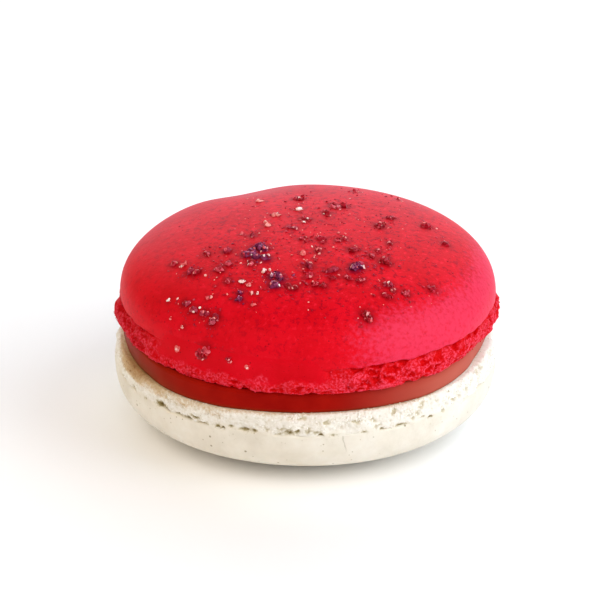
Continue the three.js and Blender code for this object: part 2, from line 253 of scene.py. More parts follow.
# Sprinkles: kind, middle and spread of a drift on the unrolled skin (+x right, +y back), number of
# grains and their width.
DRIFTS = [
    ("violet", -6.9, -8, 1, 5, 1.35),
    ("violet", -5.8, -6.7, 0.7, 3, 1.15),
    ("violet", -4.9, -9, 0.6, 2, 1),
    ("violet", -3.8, -13.6, 0.7, 3, 1.35),
    ("violet", -4, -15.3, 0.6, 3, 1.15),
    ("violet", -8.4, -15.6, 0.3, 1, 0.9),
    ("violet", -8.4, -16.8, 0.3, 1, 0.85),
    ("mauve", -15.4, -15.5, 0.4, 2, 0.85),
    ("mauve", -14.3, -16.9, 0.5, 2, 0.95),
    ("mauve", -13, -17.7, 0.5, 2, 0.95),
    ("mauve", -12.1, -19.1, 0.6, 3, 1),
    ("mauve", -10.2, -6.5, 0.6, 2, 1),
    ("mauve", 0.1, -11.5, 0.6, 2, 1.1),
    ("violet", 6, -11.1, 0.8, 4, 1.15),
    ("mauve", 3, -12.2, 0.6, 2, 1.1),
    ("mauve", 9.8, -14.2, 0.6, 2, 1.1),
    ("mauve", -6.9, -3.1, 0.3, 1, 0.85),
    ("mauve", -2.1, -1.4, 0.6, 2, 0.95),
    ("mauve", -14.6, -9.7, 0.5, 2, 0.9),
    ("ruby", 3.6, 5.6, 0.9, 4, 1.1),
    ("ruby", 2.2, 3.7, 0.6, 2, 0.95),
    ("ruby", 6, 12.9, 0.5, 2, 1),
    ("ruby", 11.4, 12.2, 0.3, 1, 0.8),
    ("ruby", 10.3, 2.9, 0.4, 2, 0.85),
    ("ruby", 9.1, 0, 0.5, 2, 1),
    ("ruby", 14.6, 2.3, 0.5, 2, 1),
    ("ruby", 16.8, -1.6, 0.4, 2, 0.9),
    ("ruby", 1.4, -7.5, 0.5, 2, 0.85),
    ("ruby", 5.1, -7.3, 0.6, 3, 0.95),
    ("ruby", 7.6, -8.3, 0.4, 2, 0.85),
    ("ruby", 8.7, -6.7, 0.4, 2, 0.8),
    ("ruby", 9.8, -4.6, 0.4, 2, 0.85),
    ("ruby", 9.6, -9.3, 0.8, 3, 0.9),
    ("ruby", 0.4, -13.4, 0.5, 2, 0.95),
    ("ruby", 1.6, -14.9, 0.8, 3, 0.9),
    ("ruby", 3, -13.5, 0.4, 1, 1),
    ("ruby", 5, -13.3, 0.5, 2, 0.75),
    ("ruby", 6.6, -13.9, 0.7, 3, 0.75),
    ("ruby", 9.6, -15.8, 0.5, 2, 0.95),
    ("ruby", 10.7, -14.7, 0.4, 1, 0.9),
    ("ruby", 11.7, -14.9, 0.4, 2, 0.9),
    ("ruby", 15.1, -12.9, 0.4, 2, 0.95),
    ("ruby", 7.1, -19.7, 0.4, 2, 1),
    ("ruby", -10.6, -10.1, 0.9, 4, 1),
    ("ruby", -10.2, -13.2, 0.5, 2, 0.9),
    ("ruby", -12.4, -6.4, 0.4, 2, 0.85),
    ("ruby", -16.5, -6.9, 0.4, 1, 0.8),
    ("ruby", -13.6, -10.2, 0.5, 2, 0.8),
    ("ruby", -2.1, -15.5, 0.6, 3, 0.85),
    ("ruby", -7.5, -10.2, 0.7, 2, 0.85),
    ("ruby", -1.4, 8.1, 0.4, 2, 0.85),
    ("ruby", -0.4, 1.3, 0.6, 2, 0.9),
    ("ruby", -1, -3.9, 0.9, 2, 0.75),
    ("ruby", 1.9, -4.7, 1, 3, 0.8),
    ("ruby", 4, -4.6, 0.7, 2, 0.8),
    ("ruby", -14.6, -22.7, 0.9, 4, 1.1),
    ("ruby", -11.1, -24.6, 0.4, 2, 0.85),
    ("sugar", -8, -13.7, 0.2, 1, 1.2),
    ("sugar", -7.1, -14.3, 0.4, 2, 0.7),
    ("sugar", -5.3, -12, 0.2, 1, 1.15),
    ("sugar", -5.2, -0.5, 0.2, 1, 1),
    ("sugar", -4, 2.5, 0.4, 2, 0.8),
    ("sugar", -1.3, 4.7, 0.4, 2, 1.05),
    ("sugar", -7.9, -2.3, 0.3, 1, 0.8),
    ("sugar", -15.4, -8, 0.4, 2, 0.85),
    ("sugar", -6.7, -18.3, 0.2, 1, 0.8),
    ("sugar", -0.8, -8.5, 0.3, 1, 0.9),
    ("sugar", -5.8, 8.4, 1, 3, 0.75),
    ("sugar", -17.6, -13.7, 0.1, 1, 0.65),
    ("sugar", -16.3, -18.3, 0.1, 1, 0.6),
    ("sugar", -17.8, -16.5, 0.2, 1, 0.55),
    ("sugar", -18.4, -20.1, 0.1, 1, 1.05),
    ("sugar", -12.2, -15.6, 0.4, 2, 0.6),
    ("sugar", -6.4, -16.1, 0.6, 2, 0.6),
    ("sugar", 9.3, 0.9, 0.2, 1, 0.75),
    ("sugar", 14.7, 3.6, 0.3, 1, 0.7),
    ("sugar", 1.3, -7.3, 0.2, 1, 0.8),
    ("sugar", 6.4, -10.8, 0.2, 1, 0.8),
    ("sugar", 3, -11.6, 0.3, 1, 0.6),
    ("sugar", -8.6, -26, 0.1, 1, 0.8),
    ("sugar", 10.1, -13.7, 0.4, 2, 0.6),
    ("sugar", 7, -19.3, 0.2, 1, 0.6),
    ("sugar", -0.8, 0.1, 0.3, 1, 0.6),
]
# What a grain of each kind is like: its breadth and height as shares of its width, how strongly its
# syrup soaks the skin, its darkest and palest tint, how many splinters stick to it, and of which
# kinds those are.
GRAIN_KINDS = {
    "violet": {
        "breadth": 0.8,
        "height": 0.55,
        "soaks": 1.0,
        "tints": (0.1, 0.6),
        "splinters": 7,
        "mix": (("violet", 0.7), ("mauve", 0.2), ("sugar", 0.1)),
    },
    "mauve": {
        "breadth": 0.8,
        "height": 0.5,
        "soaks": 0.9,
        "tints": (0.2, 0.8),
        "splinters": 5,
        "mix": (("mauve", 0.55), ("ruby", 0.37), ("sugar", 0.08)),
    },
    "ruby": {
        "breadth": 0.85,
        "height": 0.45,
        "soaks": 0.9,
        "tints": (0.1, 0.85),
        "splinters": 5,
        "mix": (("ruby", 0.84), ("mauve", 0.06), ("sugar", 0.1)),
    },
    "sugar": {
        "breadth": 0.72,
        "height": 0.55,
        "soaks": 0.6,
        "tints": (0.2, 0.95),
        "splinters": 2,
        "mix": (("sugar", 0.6), ("ruby", 0.4)),
    },
}
GRAIN_SUNK = 0.38  # the share of a grain's height that is in the skin
GRAIN_SMALLEST = 0.75
GRAIN_LARGEST = 1.2
CORE_SHARE = 0.86  # a grain's core is this share of its width, and its splinters make up the rest
RAGGEDNESS = 1.1
SPLINTER_SHARES = (0.24, 0.46)
SPLINTER_LEAN = 0.55  # how much the splinters point away from the skin
SPLINTER_REACHES = (0.75, 1.25)  # how far out their middles lie, as shares of the grain's surface
SPRINKLE_SEED = 5
SPLINTER_SEED = 85

# Dust of the same petals: chips round every drift, and specks over a field on the unrolled skin.
CHIPS_PER_GRAIN = {"violet": 6, "mauve": 6, "ruby": 6, "sugar": 2}
CHIP_REACH = 1.5
CHIP_WIDTHS = (0.13, 0.4)
CHIP_MIX = (("ruby", 0.76), ("mauve", 0.16), ("sugar", 0.08))
OWN_CHIPS = 0.3  # the share of a drift's chips that are of its own kind
SPECK_FIELD = {"x": 3.0, "y": -3.5, "radius": 15.0, "count": 520}
SPECK_FIELD_LEAST = 0.4  # each speck is drawn from a disc of this share of the radius or more
SPECK_WIDTHS = (0.1, 0.26)
SPECK_MIX = (("ruby", 0.9), ("sugar", 0.1))
DUST_TINT = 0.48  # the finer a bit, the closer to this tint
FINE_BIT = 0.5  # and from this width up it has its own
BARE_EDGE = 1.5  # no dust so close to the skin's edge
DUST_SEED = 45

# Syrup that soaked into the skin round a grain, in a dark patch and a faint one: the strength of
# each, and its reach, which grows with the grain's width and has a least value.
SOAKS = ((0.7, 0.65, 0.12), (0.5, 1.3, 0.25))
SOAKING_WIDTH = 0.6  # a narrower grain soaks the skin less
SOAKING_BIT = 0.2  # and a bit of dust narrower than this not at all

# How strongly the red skin is flecked: evenly, and more within some distances of the specks' middle.
FLECKED = {"least": 0.35, "more": 0.65, "fades": (23, 11)}

# Painted sheen: a pinker patch painted on the red skin's flank, where its satin would reflect the
# light from the right, over bearings that fade in and out, in degrees, and below a height that
# fades.
PAINTED_SHEEN_PATCH = {"from": (-86, -60), "to": (30, -5), "below": (6.6, 3.6)}

# Painted shade on the left of the red foot, the side away from the light, which is darker red
# with less pale crumb: bearing, half-width and edge in degrees, and the share of its crumb that
# isn't pale there.
LEFT_FOOT_SHADE = {"bearing": -166, "half_width": 20, "edge": 10, "share": 0.35}

# --- Numbers -------------------------------------------------------------------------------------


def draws_from(seed):
    """Even draws from 0 to 1, the same sequence as the solids are made with."""
    state = seed

    def draw():
        nonlocal state
        state = (state * 1664525 + 1013904223) % 2**32
        return state / 2**32

    return draw


def between(limits, share):
    return limits[0] + (limits[1] - limits[0]) * share


def pick(mix, share):
    """The entry of a mix of (entry, share of the whole) that a draw falls on."""
    for entry, part in mix:
        share -= part
        if share < 0:
            return entry
    return mix[-1][0]


def rise(value, low, high):
    """A smooth step from 0 at low to 1 at high."""
    share = np.clip((np.asarray(value, float) - low) / (high - low), 0, 1)
    return share * share * (3 - 2 * share)


def off_bearing(bearing, degrees):
    """How far a bearing is from another, in radians, from minus to plus half a turn."""
    return (bearing - math.radians(degrees) + math.pi) % TURN - math.pi


def waves_of(waves, seed):
    """A sum of waves of a bearing, each a (count, depth) with a drawn phase."""
    draw = draws_from(seed)
    phased = [(count, depth, TURN * draw()) for count, depth in waves]
    return lambda bearing: sum(d * np.cos(c * bearing + p) for c, d, p in phased)


def swell_at(swells, bearing):
    """How far a side stands out at a bearing."""
    return sum(
        depth * np.exp(-((off_bearing(bearing, middle) / math.radians(half_width)) ** 2))
        for middle, half_width, depth in swells
    )


def crags_of(shell):
    """The crags of a foot at a bearing and a share of the way down it."""
    draw = draws_from(shell["seed"] + 1)
    waves = [(*wave, TURN * draw()) for wave in FRILL_WAVES]
    pits = [
        (TURN * draw(), between(PIT_HALF_WIDTHS, draw()), between(PIT_DEPTHS, draw()))
        for _ in range(shell["pits"])
    ]

    def crags(bearing, down):
        fullness = shell["frill"] * math.sqrt(max(0.0, math.sin(math.pi * down)))
        out = sum(
            fullness * share * np.cos(count * bearing + phase + twist * down)
            for count, share, twist, phase in waves
        )
        out = out + swell_at(shell["swells"], bearing) * down
        for middle, half_width, depth in pits:
            turned = (bearing - middle + math.pi) % TURN - math.pi
            beside = turned * shell["skin_radius"] / half_width
            out = out - depth * np.exp(-(beside**2) - (down / PIT_REACH) ** 2)
        return out

    return crags


def skin_path(shell, samples=1600):
    """The skin's radius, height and distance along it, from the crown to the crease."""
    lean = np.linspace(0, TURN / 4, samples)
    radius = shell["skin_radius"] * np.sin(lean) ** (2 / shell["bulge"])
    crown = shell["dome"] + shell["settled"]
    height = np.minimum(crown * np.abs(np.cos(lean)) ** (2 / shell["flatness"]), shell["dome"])
    height[-1] = 0
    along = np.concatenate([[0], np.cumsum(np.hypot(np.diff(radius), np.diff(height)))])
    return radius, height, along


def foot_radius(foot, down):
    if down < foot["fullest_at"]:
        swell = math.sin(TURN / 4 * down / foot["fullest_at"])
        return foot["groove"] + (foot["fullest"] - foot["groove"]) * swell
    past = (down - foot["fullest_at"]) / (1 - foot["fullest_at"])
    return foot["rim"] + (foot["fullest"] - foot["rim"]) * math.sqrt(1 - past * past)


def dip_at(x, y, height):
    """How far the skin sank at a place and height in a shell's own millimetres."""
    away = np.hypot(x - DIP["x"], y - DIP["y"]) / DIP["radius"]
    return DIP["depth"] * np.exp(-(away**2)) * np.clip(height / DIP_FADE, 0, 1)


def flush_at(bearing):
    """How far the red skin and its foot are one at a bearing, from 0 to 1."""
    flush = np.zeros_like(bearing)
    for middle, half_width in FLUSH_STRETCHES:
        off = np.degrees(np.abs(off_bearing(bearing, middle)))
        flush = np.maximum(flush, rise(off, half_width + FLUSH_EDGE, half_width - FLUSH_EDGE))
    return flush


# --- Meshes --------------------------------------------------------------------------------------


def lathe(name, stations, turns):
    """A closed mesh about +Z, from rings of (radius array or number, height array or number).
    The stations run from the bottom of the axis outward and up to its top."""
    bearing = np.linspace(0, TURN, turns, endpoint=False)
    points = [[0, 0, float(np.mean(stations[0][1]))]]
    for radius, height in stations[1:-1]:
        ring = np.empty((turns, 3))
        ring[:, 0] = radius * np.cos(bearing)
        ring[:, 1] = radius * np.sin(bearing)
        ring[:, 2] = height
        points.extend(ring.tolist())
    points.append([0, 0, float(np.mean(stations[-1][1]))])
    here = np.arange(turns)
    after = (here + 1) % turns
    faces = [[0, 1 + b, 1 + a] for a, b in zip(here, after)]
    for row in range(len(stations) - 3):
        low, high = 1 + row * turns, 1 + (row + 1) * turns
        faces.extend(np.column_stack([low + here, low + after, high + after, high + here]).tolist())
    top = len(points) - 1
    last = top - turns
    faces.extend([[last + a, last + b, top] for a, b in zip(here, after)])
    mesh = bpy.data.meshes.new(name)
    mesh.from_pydata(points, [], faces)
    mesh.shade_smooth()
    return mesh


def points_of(mesh):
    flat = np.empty(len(mesh.vertices) * 3, np.float32)
    mesh.vertices.foreach_get("co", flat)
    return flat.reshape(-1, 3).astype(float)


def set_points(mesh, points):
    mesh.vertices.foreach_set("co", np.asarray(points, np.float32).ravel())
    mesh.update()


def store(mesh, name, values, kind="FLOAT"):
    """Keeps a value for each vertex, for the node trees and materials to read."""
    layer = mesh.attributes.new(name, kind, "POINT")
    key = "vector" if kind == "FLOAT_VECTOR" else "value"
    layer.data.foreach_set(key, np.asarray(values, np.float32).ravel())


def store_rings(mesh, name, rings, turns):
    """Keeps a value for each vertex of a lathe, from one number or array for each station."""
    values = [[float(np.mean(rings[0]))]]
    values += [np.broadcast_to(ring, turns) for ring in rings[1:-1]]
    values += [[float(np.mean(rings[-1]))]]
    store(mesh, name, np.concatenate(values))


def in_place(mesh, shell):
    """Moves a mesh from a shell's own millimetres to where that shell lies, in metres."""
    points = points_of(mesh)
    if shell is LOWER_SHELL:
        points = points * [1, -1, -1] + [0, 0, LOWER_CREASE]
    else:
        points = points + [UPPER_SHELL_SHIFT, 0, UPPER_CREASE]
    set_points(mesh, points * MM)
    return mesh


def piece(name, mesh, node_name, material=None):
    """An object of the macaron, which stands for a CAD node."""
    obj = bpy.data.objects.new(name, mesh)
    bpy.context.scene.collection.objects.link(obj)
    if material:
        mesh.materials.clear()
        mesh.materials.append(material)
    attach(obj, "root")
    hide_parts(node_name)
    return obj


# --- Nodes ---------------------------------------------------------------------------------------

MATH = "ShaderNodeMath"
VECTOR_MATH = "ShaderNodeVectorMath"
STEP = "ShaderNodeMapRange"
NOISE = "ShaderNodeTexNoise"
CELLS = "ShaderNodeTexVoronoi"
RAMP = "ShaderNodeValToRGB"
MIX = "ShaderNodeMix"
BUMP = "ShaderNodeBump"
SPLIT = "ShaderNodeSeparateXYZ"
JOIN = "ShaderNodeCombineXYZ"
POSITION = "GeometryNodeInputPosition"
NAMED = "GeometryNodeInputNamedAttribute"
STORE = "GeometryNodeStoreNamedAttribute"
RANDOM = "FunctionNodeRandomValue"
SPHERE = "GeometryNodeMeshIcoSphere"
PLACE = "GeometryNodeInstanceOnPoints"
REALIZE = "GeometryNodeRealizeInstances"
MOVE = "GeometryNodeSetPosition"

SMOOTH = {"interpolation_type": "SMOOTHSTEP"}
COLOUR = {"data_type": "RGBA"}
NUMBER = {"data_type": "FLOAT", "domain": "POINT"}
MIDDLE = 0.5  # what noise averages


def srgb(code):
    """A colour in sRGB hex as linear RGBA."""
    parts = [int(code[i : i + 2], 16) / 255 for i in (1, 3, 5)]
    return (*[c / 12.92 if c <= 0.04045 else ((c + 0.055) / 1.055) ** 2.4 for c in parts], 1)


def feed(tree, socket, value):
    """Gives an input a value, a colour in hex, an output, or a node's first output."""
    if isinstance(value, bpy.types.Node):
        value = next(output for output in value.outputs if output.enabled)
    if isinstance(value, bpy.types.NodeSocket):
        tree.links.new(value, socket)
    else:
        is_colour = isinstance(value, str) and value.startswith("#")
        socket.default_value = srgb(value) if is_colour else value


def add(tree, kind, inputs=(), stops=(), **settings):
    """Adds a node with its settings, a ramp's (position, hex) stops, and its inputs, which are given
    by name or in their order."""
    node = tree.nodes.new(kind)
    for key, value in settings.items():
        setattr(node, key, value)
    if stops:
        elements = node.color_ramp.elements
        while len(elements) < len(stops):
            elements.new(0.5)
        for element, (position, code) in zip(elements, stops):
            element.position = position
            element.color = srgb(code)
    if not isinstance(inputs, dict):
        in_use = [number for number, socket in enumerate(node.inputs) if socket.enabled]
        inputs = dict(zip(in_use, inputs))
    for key, value in inputs.items():
        feed(tree, node.inputs[key], value)
    return node


def scale_of(size_mm):
    """The scale at which a texture's pattern has a size."""
    return 1 / (size_mm * MM)


def drift_of(tree, coords, size_mm, detail):
    """Noise as a vector that averages nought."""
    drift = add(tree, NOISE, (coords, scale_of(size_mm), detail)).outputs["Color"]
    return add(tree, VECTOR_MATH, (drift, (MIDDLE, MIDDLE, MIDDLE)), operation="SUBTRACT")


def drifted(tree, coords, size_mm, reach):
    """Coordinates that noise has pushed about."""
    push = add(tree, VECTOR_MATH, (drift_of(tree, coords, size_mm, 2), reach), operation="SCALE")
    return add(tree, VECTOR_MATH, (coords, push), operation="ADD")


def dots(tree, coords, spacing_mm, radius_mm, share):
    """Small round spots, 1 in them and 0 elsewhere, at a share of the places of a loose grid."""
    grid = add(tree, CELLS, (coords, scale_of(spacing_mm)))
    radius = radius_mm / spacing_mm
    inside = add(tree, STEP, (grid, radius, 0.5 * radius), **SMOOTH)
    drawn = add(tree, SPLIT, [grid.outputs["Color"]]).outputs["Y"]
    here = add(tree, MATH, (drawn, share), operation="LESS_THAN")
    return add(tree, MATH, (inside, here), operation="MULTIPLY")


def new_material(name, values, marks=()):
    """A material of one Principled shader. Its inputs are made by a function of its tree, the object
    coordinates and the attributes that it reads."""
    material = bpy.data.materials.new(name)
    material.use_nodes = True
    tree = material.node_tree
    shader = tree.nodes["Principled BSDF"]
    coords = add(tree, "ShaderNodeTexCoord").outputs["Object"]
    read = [add(tree, "ShaderNodeAttribute", attribute_name=mark).outputs["Fac"] for mark in marks]
    for key, value in values(tree, coords, *read).items():
        feed(tree, shader.inputs[key], value)
    return material


# --- Materials -----------------------------------------------------------------------------------


def red_dye(tree, coords):
    """The colour of red-dyed meringue: mottled by dye that dried unevenly, with dark specks of
    almond skin. Hands back its fine noise too."""
    broad = add(tree, NOISE, (coords, scale_of(5.0), 3))
    fine = add(tree, NOISE, (coords, scale_of(0.5), 4, 0.6))
    red = add(tree, RAMP, [broad], ((0.35, "#cf0214"), (0.65, "#dd051c")))
    light = add(tree, STEP, (fine, 0.5, 0.78, 0, 0.4), **SMOOTH)
    red = add(tree, MIX, (light, red, "#e00c24"), **COLOUR)
    red = add(tree, MIX, (dots(tree, coords, 0.8, 0.12, 0.4), red, "#9c0212"), **COLOUR)
    red = add(tree, MIX, (dots(tree, coords, 0.45, 0.08, 0.4), red, "#b00214"), **COLOUR)
    return red, fine


def red_skin_material():
    """Red-dyed almond meringue, dried to a thin satin skin before baking. The eye gets a deep red
    with faint mottling and specks, a pinker sheen painted on one flank where light from the right
    would reflect, and dark patches where syrup soaked in round the grains."""

    def values(tree, coords, syrup, violet_syrup, flecked, pale):
        red, fine = red_dye(tree, coords)
        uneven = add(tree, MATH, (fine, MIDDLE), operation="SUBTRACT")
        ragged = add(tree, MATH, (uneven, 0.9, syrup), operation="MULTIPLY_ADD")
        ragged = add(tree, STEP, (ragged, 0.12, 0.95), **SMOOTH)
        wet = add(tree, STEP, (syrup, 0.02, 0.3), **SMOOTH)
        soaked = add(tree, MATH, (ragged, wet), operation="MULTIPLY")
        stained = add(tree, MIX, (violet_syrup, "#a60212", "#860a2c"), **COLOUR)
        fleck = add(tree, NOISE, (coords, scale_of(0.75), 4, 0.7))
        for low, high, tint in ((0.53, 0.64, "#a6001a"), (0.44, 0.34, "#ea1830")):
            flecks = add(tree, STEP, (fleck, low, high), **SMOOTH)
            flecks = add(tree, MATH, (flecks, flecked), operation="MULTIPLY")
            red = add(tree, MIX, (flecks, red, tint), **COLOUR)
        # A pinker patch on the flank, broken up by noise: painted sheen of the light from the right.
        sheen_amount = add(tree, MATH, (uneven, 2.4, pale), operation="MULTIPLY_ADD")
        sheen_amount = add(tree, STEP, (sheen_amount, 0.0, 1.2), **SMOOTH)
        flank = add(tree, STEP, (pale, 0.0, 0.3), **SMOOTH)
        sheen_amount = add(tree, MATH, (sheen_amount, flank), operation="MULTIPLY")
        sheened = add(tree, MIX, (sheen_amount, red, "#e2304f"), **COLOUR)
        pores = add(tree, NOISE, (coords, scale_of(0.25), 2))
        relief = add(tree, BUMP, {"Height": fleck, "Distance": 0.05 * MM})
        return {
            "Base Color": add(tree, MIX, (soaked, sheened, stained), **COLOUR),
            "Roughness": 0.5,
            "Specular IOR Level": 0.08,
            "Sheen Weight": 0.08,
            "Sheen Roughness": 0.3,
            "Sheen Tint": "#ff80a0",
            "Normal": add(tree, BUMP, {"Height": pores, "Distance": 0.015 * MM, "Normal": relief}),
        }

    return new_material("red_meringue_skin", values, ("syrup", "violet_syrup", "flecked", "painted_sheen"))


def red_foot_material():
    """The same meringue where it rose and burst open. The eye gets saturated red hollows behind a
    lace of pale pink crumb that thickens toward the filling. The pink on the ridge tops is partly a
    painted highlight, and the left of the foot is painted darker as shade."""

    def values(tree, coords, crumbly, hollow, down, crumb, paling, left_shade):
        red, _ = red_dye(tree, coords)
        grain = add(tree, NOISE, (coords, scale_of(0.3), 4, 0.65))
        rough = add(tree, MATH, (grain, MIDDLE), operation="SUBTRACT")
        burst = add(tree, STEP, (crumbly, 0.1, 0.6), **SMOOTH)
        hollow = add(tree, MATH, (rough, -1.2, hollow), operation="MULTIPLY_ADD")
        # Pink on the ridge tops: pale crumb, and partly a painted highlight.
        ridge = add(tree, STEP, (hollow, 0.35, -0.1), **SMOOTH)
        ridge = add(tree, MATH, (ridge, burst), operation="MULTIPLY")
        thick = add(tree, STEP, (down, 0.0, 0.35, 0.35, 1.0), **SMOOTH)
        ridge = add(tree, MATH, (ridge, thick), operation="MULTIPLY")
        clumps = add(tree, NOISE, (coords, scale_of(2.2), 2))
        clumps = add(tree, MATH, (clumps, MIDDLE), operation="SUBTRACT")
        low = add(tree, MATH, (clumps, 3.0, down), operation="MULTIPLY_ADD")
        low = add(tree, STEP, (low, 0.55, 0.95), **SMOOTH)
        shallow = add(tree, STEP, (hollow, 0.5, 0.1), **SMOOTH)
        low = add(tree, MATH, (low, shallow), operation="MULTIPLY")
        pale = add(tree, MATH, (ridge, low), operation="MAXIMUM")
        pale = add(tree, MATH, (pale, crumb), operation="MAXIMUM")
        lace = add(tree, STEP, (grain, 0.44, 0.62, 0.1, 0.9), **SMOOTH)
        pale = add(tree, MATH, (pale, lace), operation="MULTIPLY")
        pale = add(tree, MATH, (pale, paling), operation="MULTIPLY")
        # Darker red on the left of the foot: painted shade.
        deep = add(tree, MIX, (left_shade, "#ce0208", "#c20c16"), **COLOUR)
        deep = add(tree, MIX, (burst, red, deep), **COLOUR)
        return {
            "Base Color": add(tree, MIX, (pale, deep, "#ee4660"), **COLOUR),
            "Roughness": 0.6,
            "Specular IOR Level": 0.06,
            "Sheen Weight": 0.06,
            "Sheen Roughness": 0.3,
            "Sheen Tint": "#ff80a0",
            "Normal": add(tree, BUMP, {"Height": grain, "Distance": 0.03 * MM}),
        }

    marks = ("crumbly", "hollow", "down", "crumb", "paling", "left_shade")
    return new_material("red_meringue_foot", values, marks)


def cream_tones(tree, coords):
    """The colour of undyed meringue: warm off-white clouds with a few specks of almond skin."""
    clouds = add(tree, NOISE, (coords, scale_of(4.0), 4, 0.6))
    cream = add(tree, RAMP, [clouds], ((0.3, "#e2dac9"), (0.55, "#ece5d6"), (0.75, "#f2ede1")))
    cream = add(tree, MIX, (dots(tree, coords, 1.5, 0.2, 0.35), cream, "#a89c80"), **COLOUR)
    return add(tree, MIX, (dots(tree, coords, 0.7, 0.12, 0.25), cream, "#c3b89f"), **COLOUR)


def crack_line(tree, coords):
    """1 along the hairline crack, and 0 elsewhere."""
    half_width = CRACK["half_width"] * MM
    length = CRACK["length"] * MM
    place = add(tree, SPLIT, [coords]).outputs
    down = add(tree, MATH, (LOWER_CREASE * MM, place["Z"]), operation="SUBTRACT")
    drift = add(tree, NOISE, (coords, scale_of(0.9), 2))
    drift = add(tree, MATH, (drift, MIDDLE), operation="SUBTRACT")
    across = add(tree, MATH, (down, -CRACK["slant"], place["X"]), operation="MULTIPLY_ADD")
    across = add(tree, MATH, (drift, CRACK["wander"] * MM, across), operation="MULTIPLY_ADD")
    across = add(tree, MATH, (across, CRACK["x"] * MM), operation="SUBTRACT")
    across = add(tree, MATH, [across], operation="ABSOLUTE")
    line = add(tree, STEP, (across, half_width, 0.3 * half_width), **SMOOTH)
    near = add(tree, STEP, (down, length, 0.5 * length), **SMOOTH)
    line = add(tree, MATH, (line, near), operation="MULTIPLY")
    front = add(tree, MATH, (place["Y"], 0.0), operation="LESS_THAN")
    return add(tree, MATH, (line, front), operation="MULTIPLY")


def cream_skin_material():
    """Undyed almond meringue, dried to a thin satin skin. The eye gets a warm off-white with faint
    clouds, a few almond specks and a hairline crack."""

    def values(tree, coords):
        fine = add(tree, NOISE, (coords, scale_of(0.6), 4, 0.6))
        crack = crack_line(tree, coords)
        relief = add(tree, BUMP, {"Height": fine, "Distance": 0.035 * MM})
        return {
            "Base Color": add(tree, MIX, (crack, cream_tones(tree, coords), "#d4ccba"), **COLOUR),
            "Roughness": 0.6,
            "Specular IOR Level": 0.25,
            "Subsurface Weight": 0.15,
            "Subsurface Radius": (1.0, 0.8, 0.6),
            "Subsurface Scale": 0.6 * MM,
            "Normal": add(tree, BUMP, {"Height": crack, "Distance": -0.02 * MM, "Normal": relief}),
        }

    return new_material("cream_meringue_skin", values)


def cream_foot_material():
    """The same meringue where it rose and burst open. The eye gets a pale crumb painted darker in its
    hollows, burst pits along the crease painted olive-brown as shade, and a brown stain where the
    filling's juice baked in."""

    def values(tree, coords, crumbly, hollow, pit, stain):
        grain = add(tree, NOISE, (coords, scale_of(0.32), 4, 0.65))
        rough = add(tree, MATH, (grain, MIDDLE), operation="SUBTRACT")
        burst = add(tree, STEP, (crumbly, 0.05, 0.6), **SMOOTH)
        hollow = add(tree, MATH, (rough, 0.8, hollow), operation="MULTIPLY_ADD")
        depth = add(tree, MATH, (hollow, 0.5, 0.5), operation="MULTIPLY_ADD")
        # Darker toward the bottom of the hollows: painted shade.
        stops = ((0.2, "#f8f4ec"), (0.55, "#ebe5d8"), (0.8, "#dcd3bf"), (1.0, "#cbbfa2"))
        crumb = add(tree, RAMP, [depth], stops)
        colour = add(tree, MIX, (burst, cream_tones(tree, coords), crumb), **COLOUR)
        pit = add(tree, MATH, (rough, 1.2, pit), operation="MULTIPLY_ADD")
        stain = add(tree, MATH, (rough, 0.8, stain), operation="MULTIPLY_ADD")
        # Olive-brown in the burst pits: painted shade.
        layers = (
            (pit, 0.08, 0.4, 0.6, "#bcae88"),
            (pit, 0.3, 0.8, 1.0, "#8c7c50"),
            (pit, 0.75, 1.1, 1.0, "#5e4c24"),
            (stain, 0.15, 0.6, 0.9, "#ccae82"),
            (stain, 0.55, 1.1, 0.9, "#a87c4c"),
        )
        for mark, low, high, most, tint in layers:
            cover = add(tree, STEP, (mark, low, high, 0, most), **SMOOTH)
            colour = add(tree, MIX, (cover, colour, tint), **COLOUR)
        return {
            "Base Color": colour,
            "Roughness": 0.7,
            "Specular IOR Level": 0.22,
            "Normal": add(tree, BUMP, {"Height": grain, "Distance": 0.05 * MM}),
        }

    return new_material("cream_meringue_foot", values, ("crumbly", "hollow", "pit", "stain"))


def ganache_material():
    """Berry and chocolate ganache, set smooth. The eye gets a dark red-brown with a soft gloss,
    browner where it dried out at the edge, and painted light and reflection in salmon on its right
    side."""

    def values(tree, coords, lit_side, dried):
        clouds = add(tree, NOISE, (coords, scale_of(3.0), 3))
        colour = add(tree, RAMP, [clouds], ((0.3, "#920803"), (0.7, "#a01006")))
        # Lighter salmon on the right side: painted light and reflection, less near the top as painted
        # shade.
        colour = add(tree, MIX, (lit_side, colour, "#b85a4a"), **COLOUR)
        return {
            "Base Color": add(tree, MIX, (dried, colour, "#6e3c18"), **COLOUR),
            "Roughness": 0.45,
            "Specular IOR Level": 0.03,
            "Normal": add(tree, BUMP, {"Height": clouds, "Distance": 0.06 * MM}),
        }

    return new_material("ganache", values, ("lit_side", "dried"))


def grain_material(name, stops, roughness):
    """Crushed candied petals and sugar. The eye gets small hard facets, each with its own tint."""

    def values(tree, coords, tint):
        cloud = add(tree, NOISE, (coords, scale_of(0.35), 3))
        uneven = add(tree, MATH, (cloud, MIDDLE), operation="SUBTRACT")
        tint = add(tree, MATH, (uneven, 0.5, tint), operation="MULTIPLY_ADD")
        return {
            "Base Color": add(tree, RAMP, [tint], stops),
            "Roughness": roughness,
            "Specular IOR Level": 0.25,
            "Normal": add(tree, BUMP, {"Height": cloud, "Distance": 0.04 * MM}),
        }

    return new_material(name, values, ["tint"])


# --- Geometry node trees -------------------------------------------------------------------------


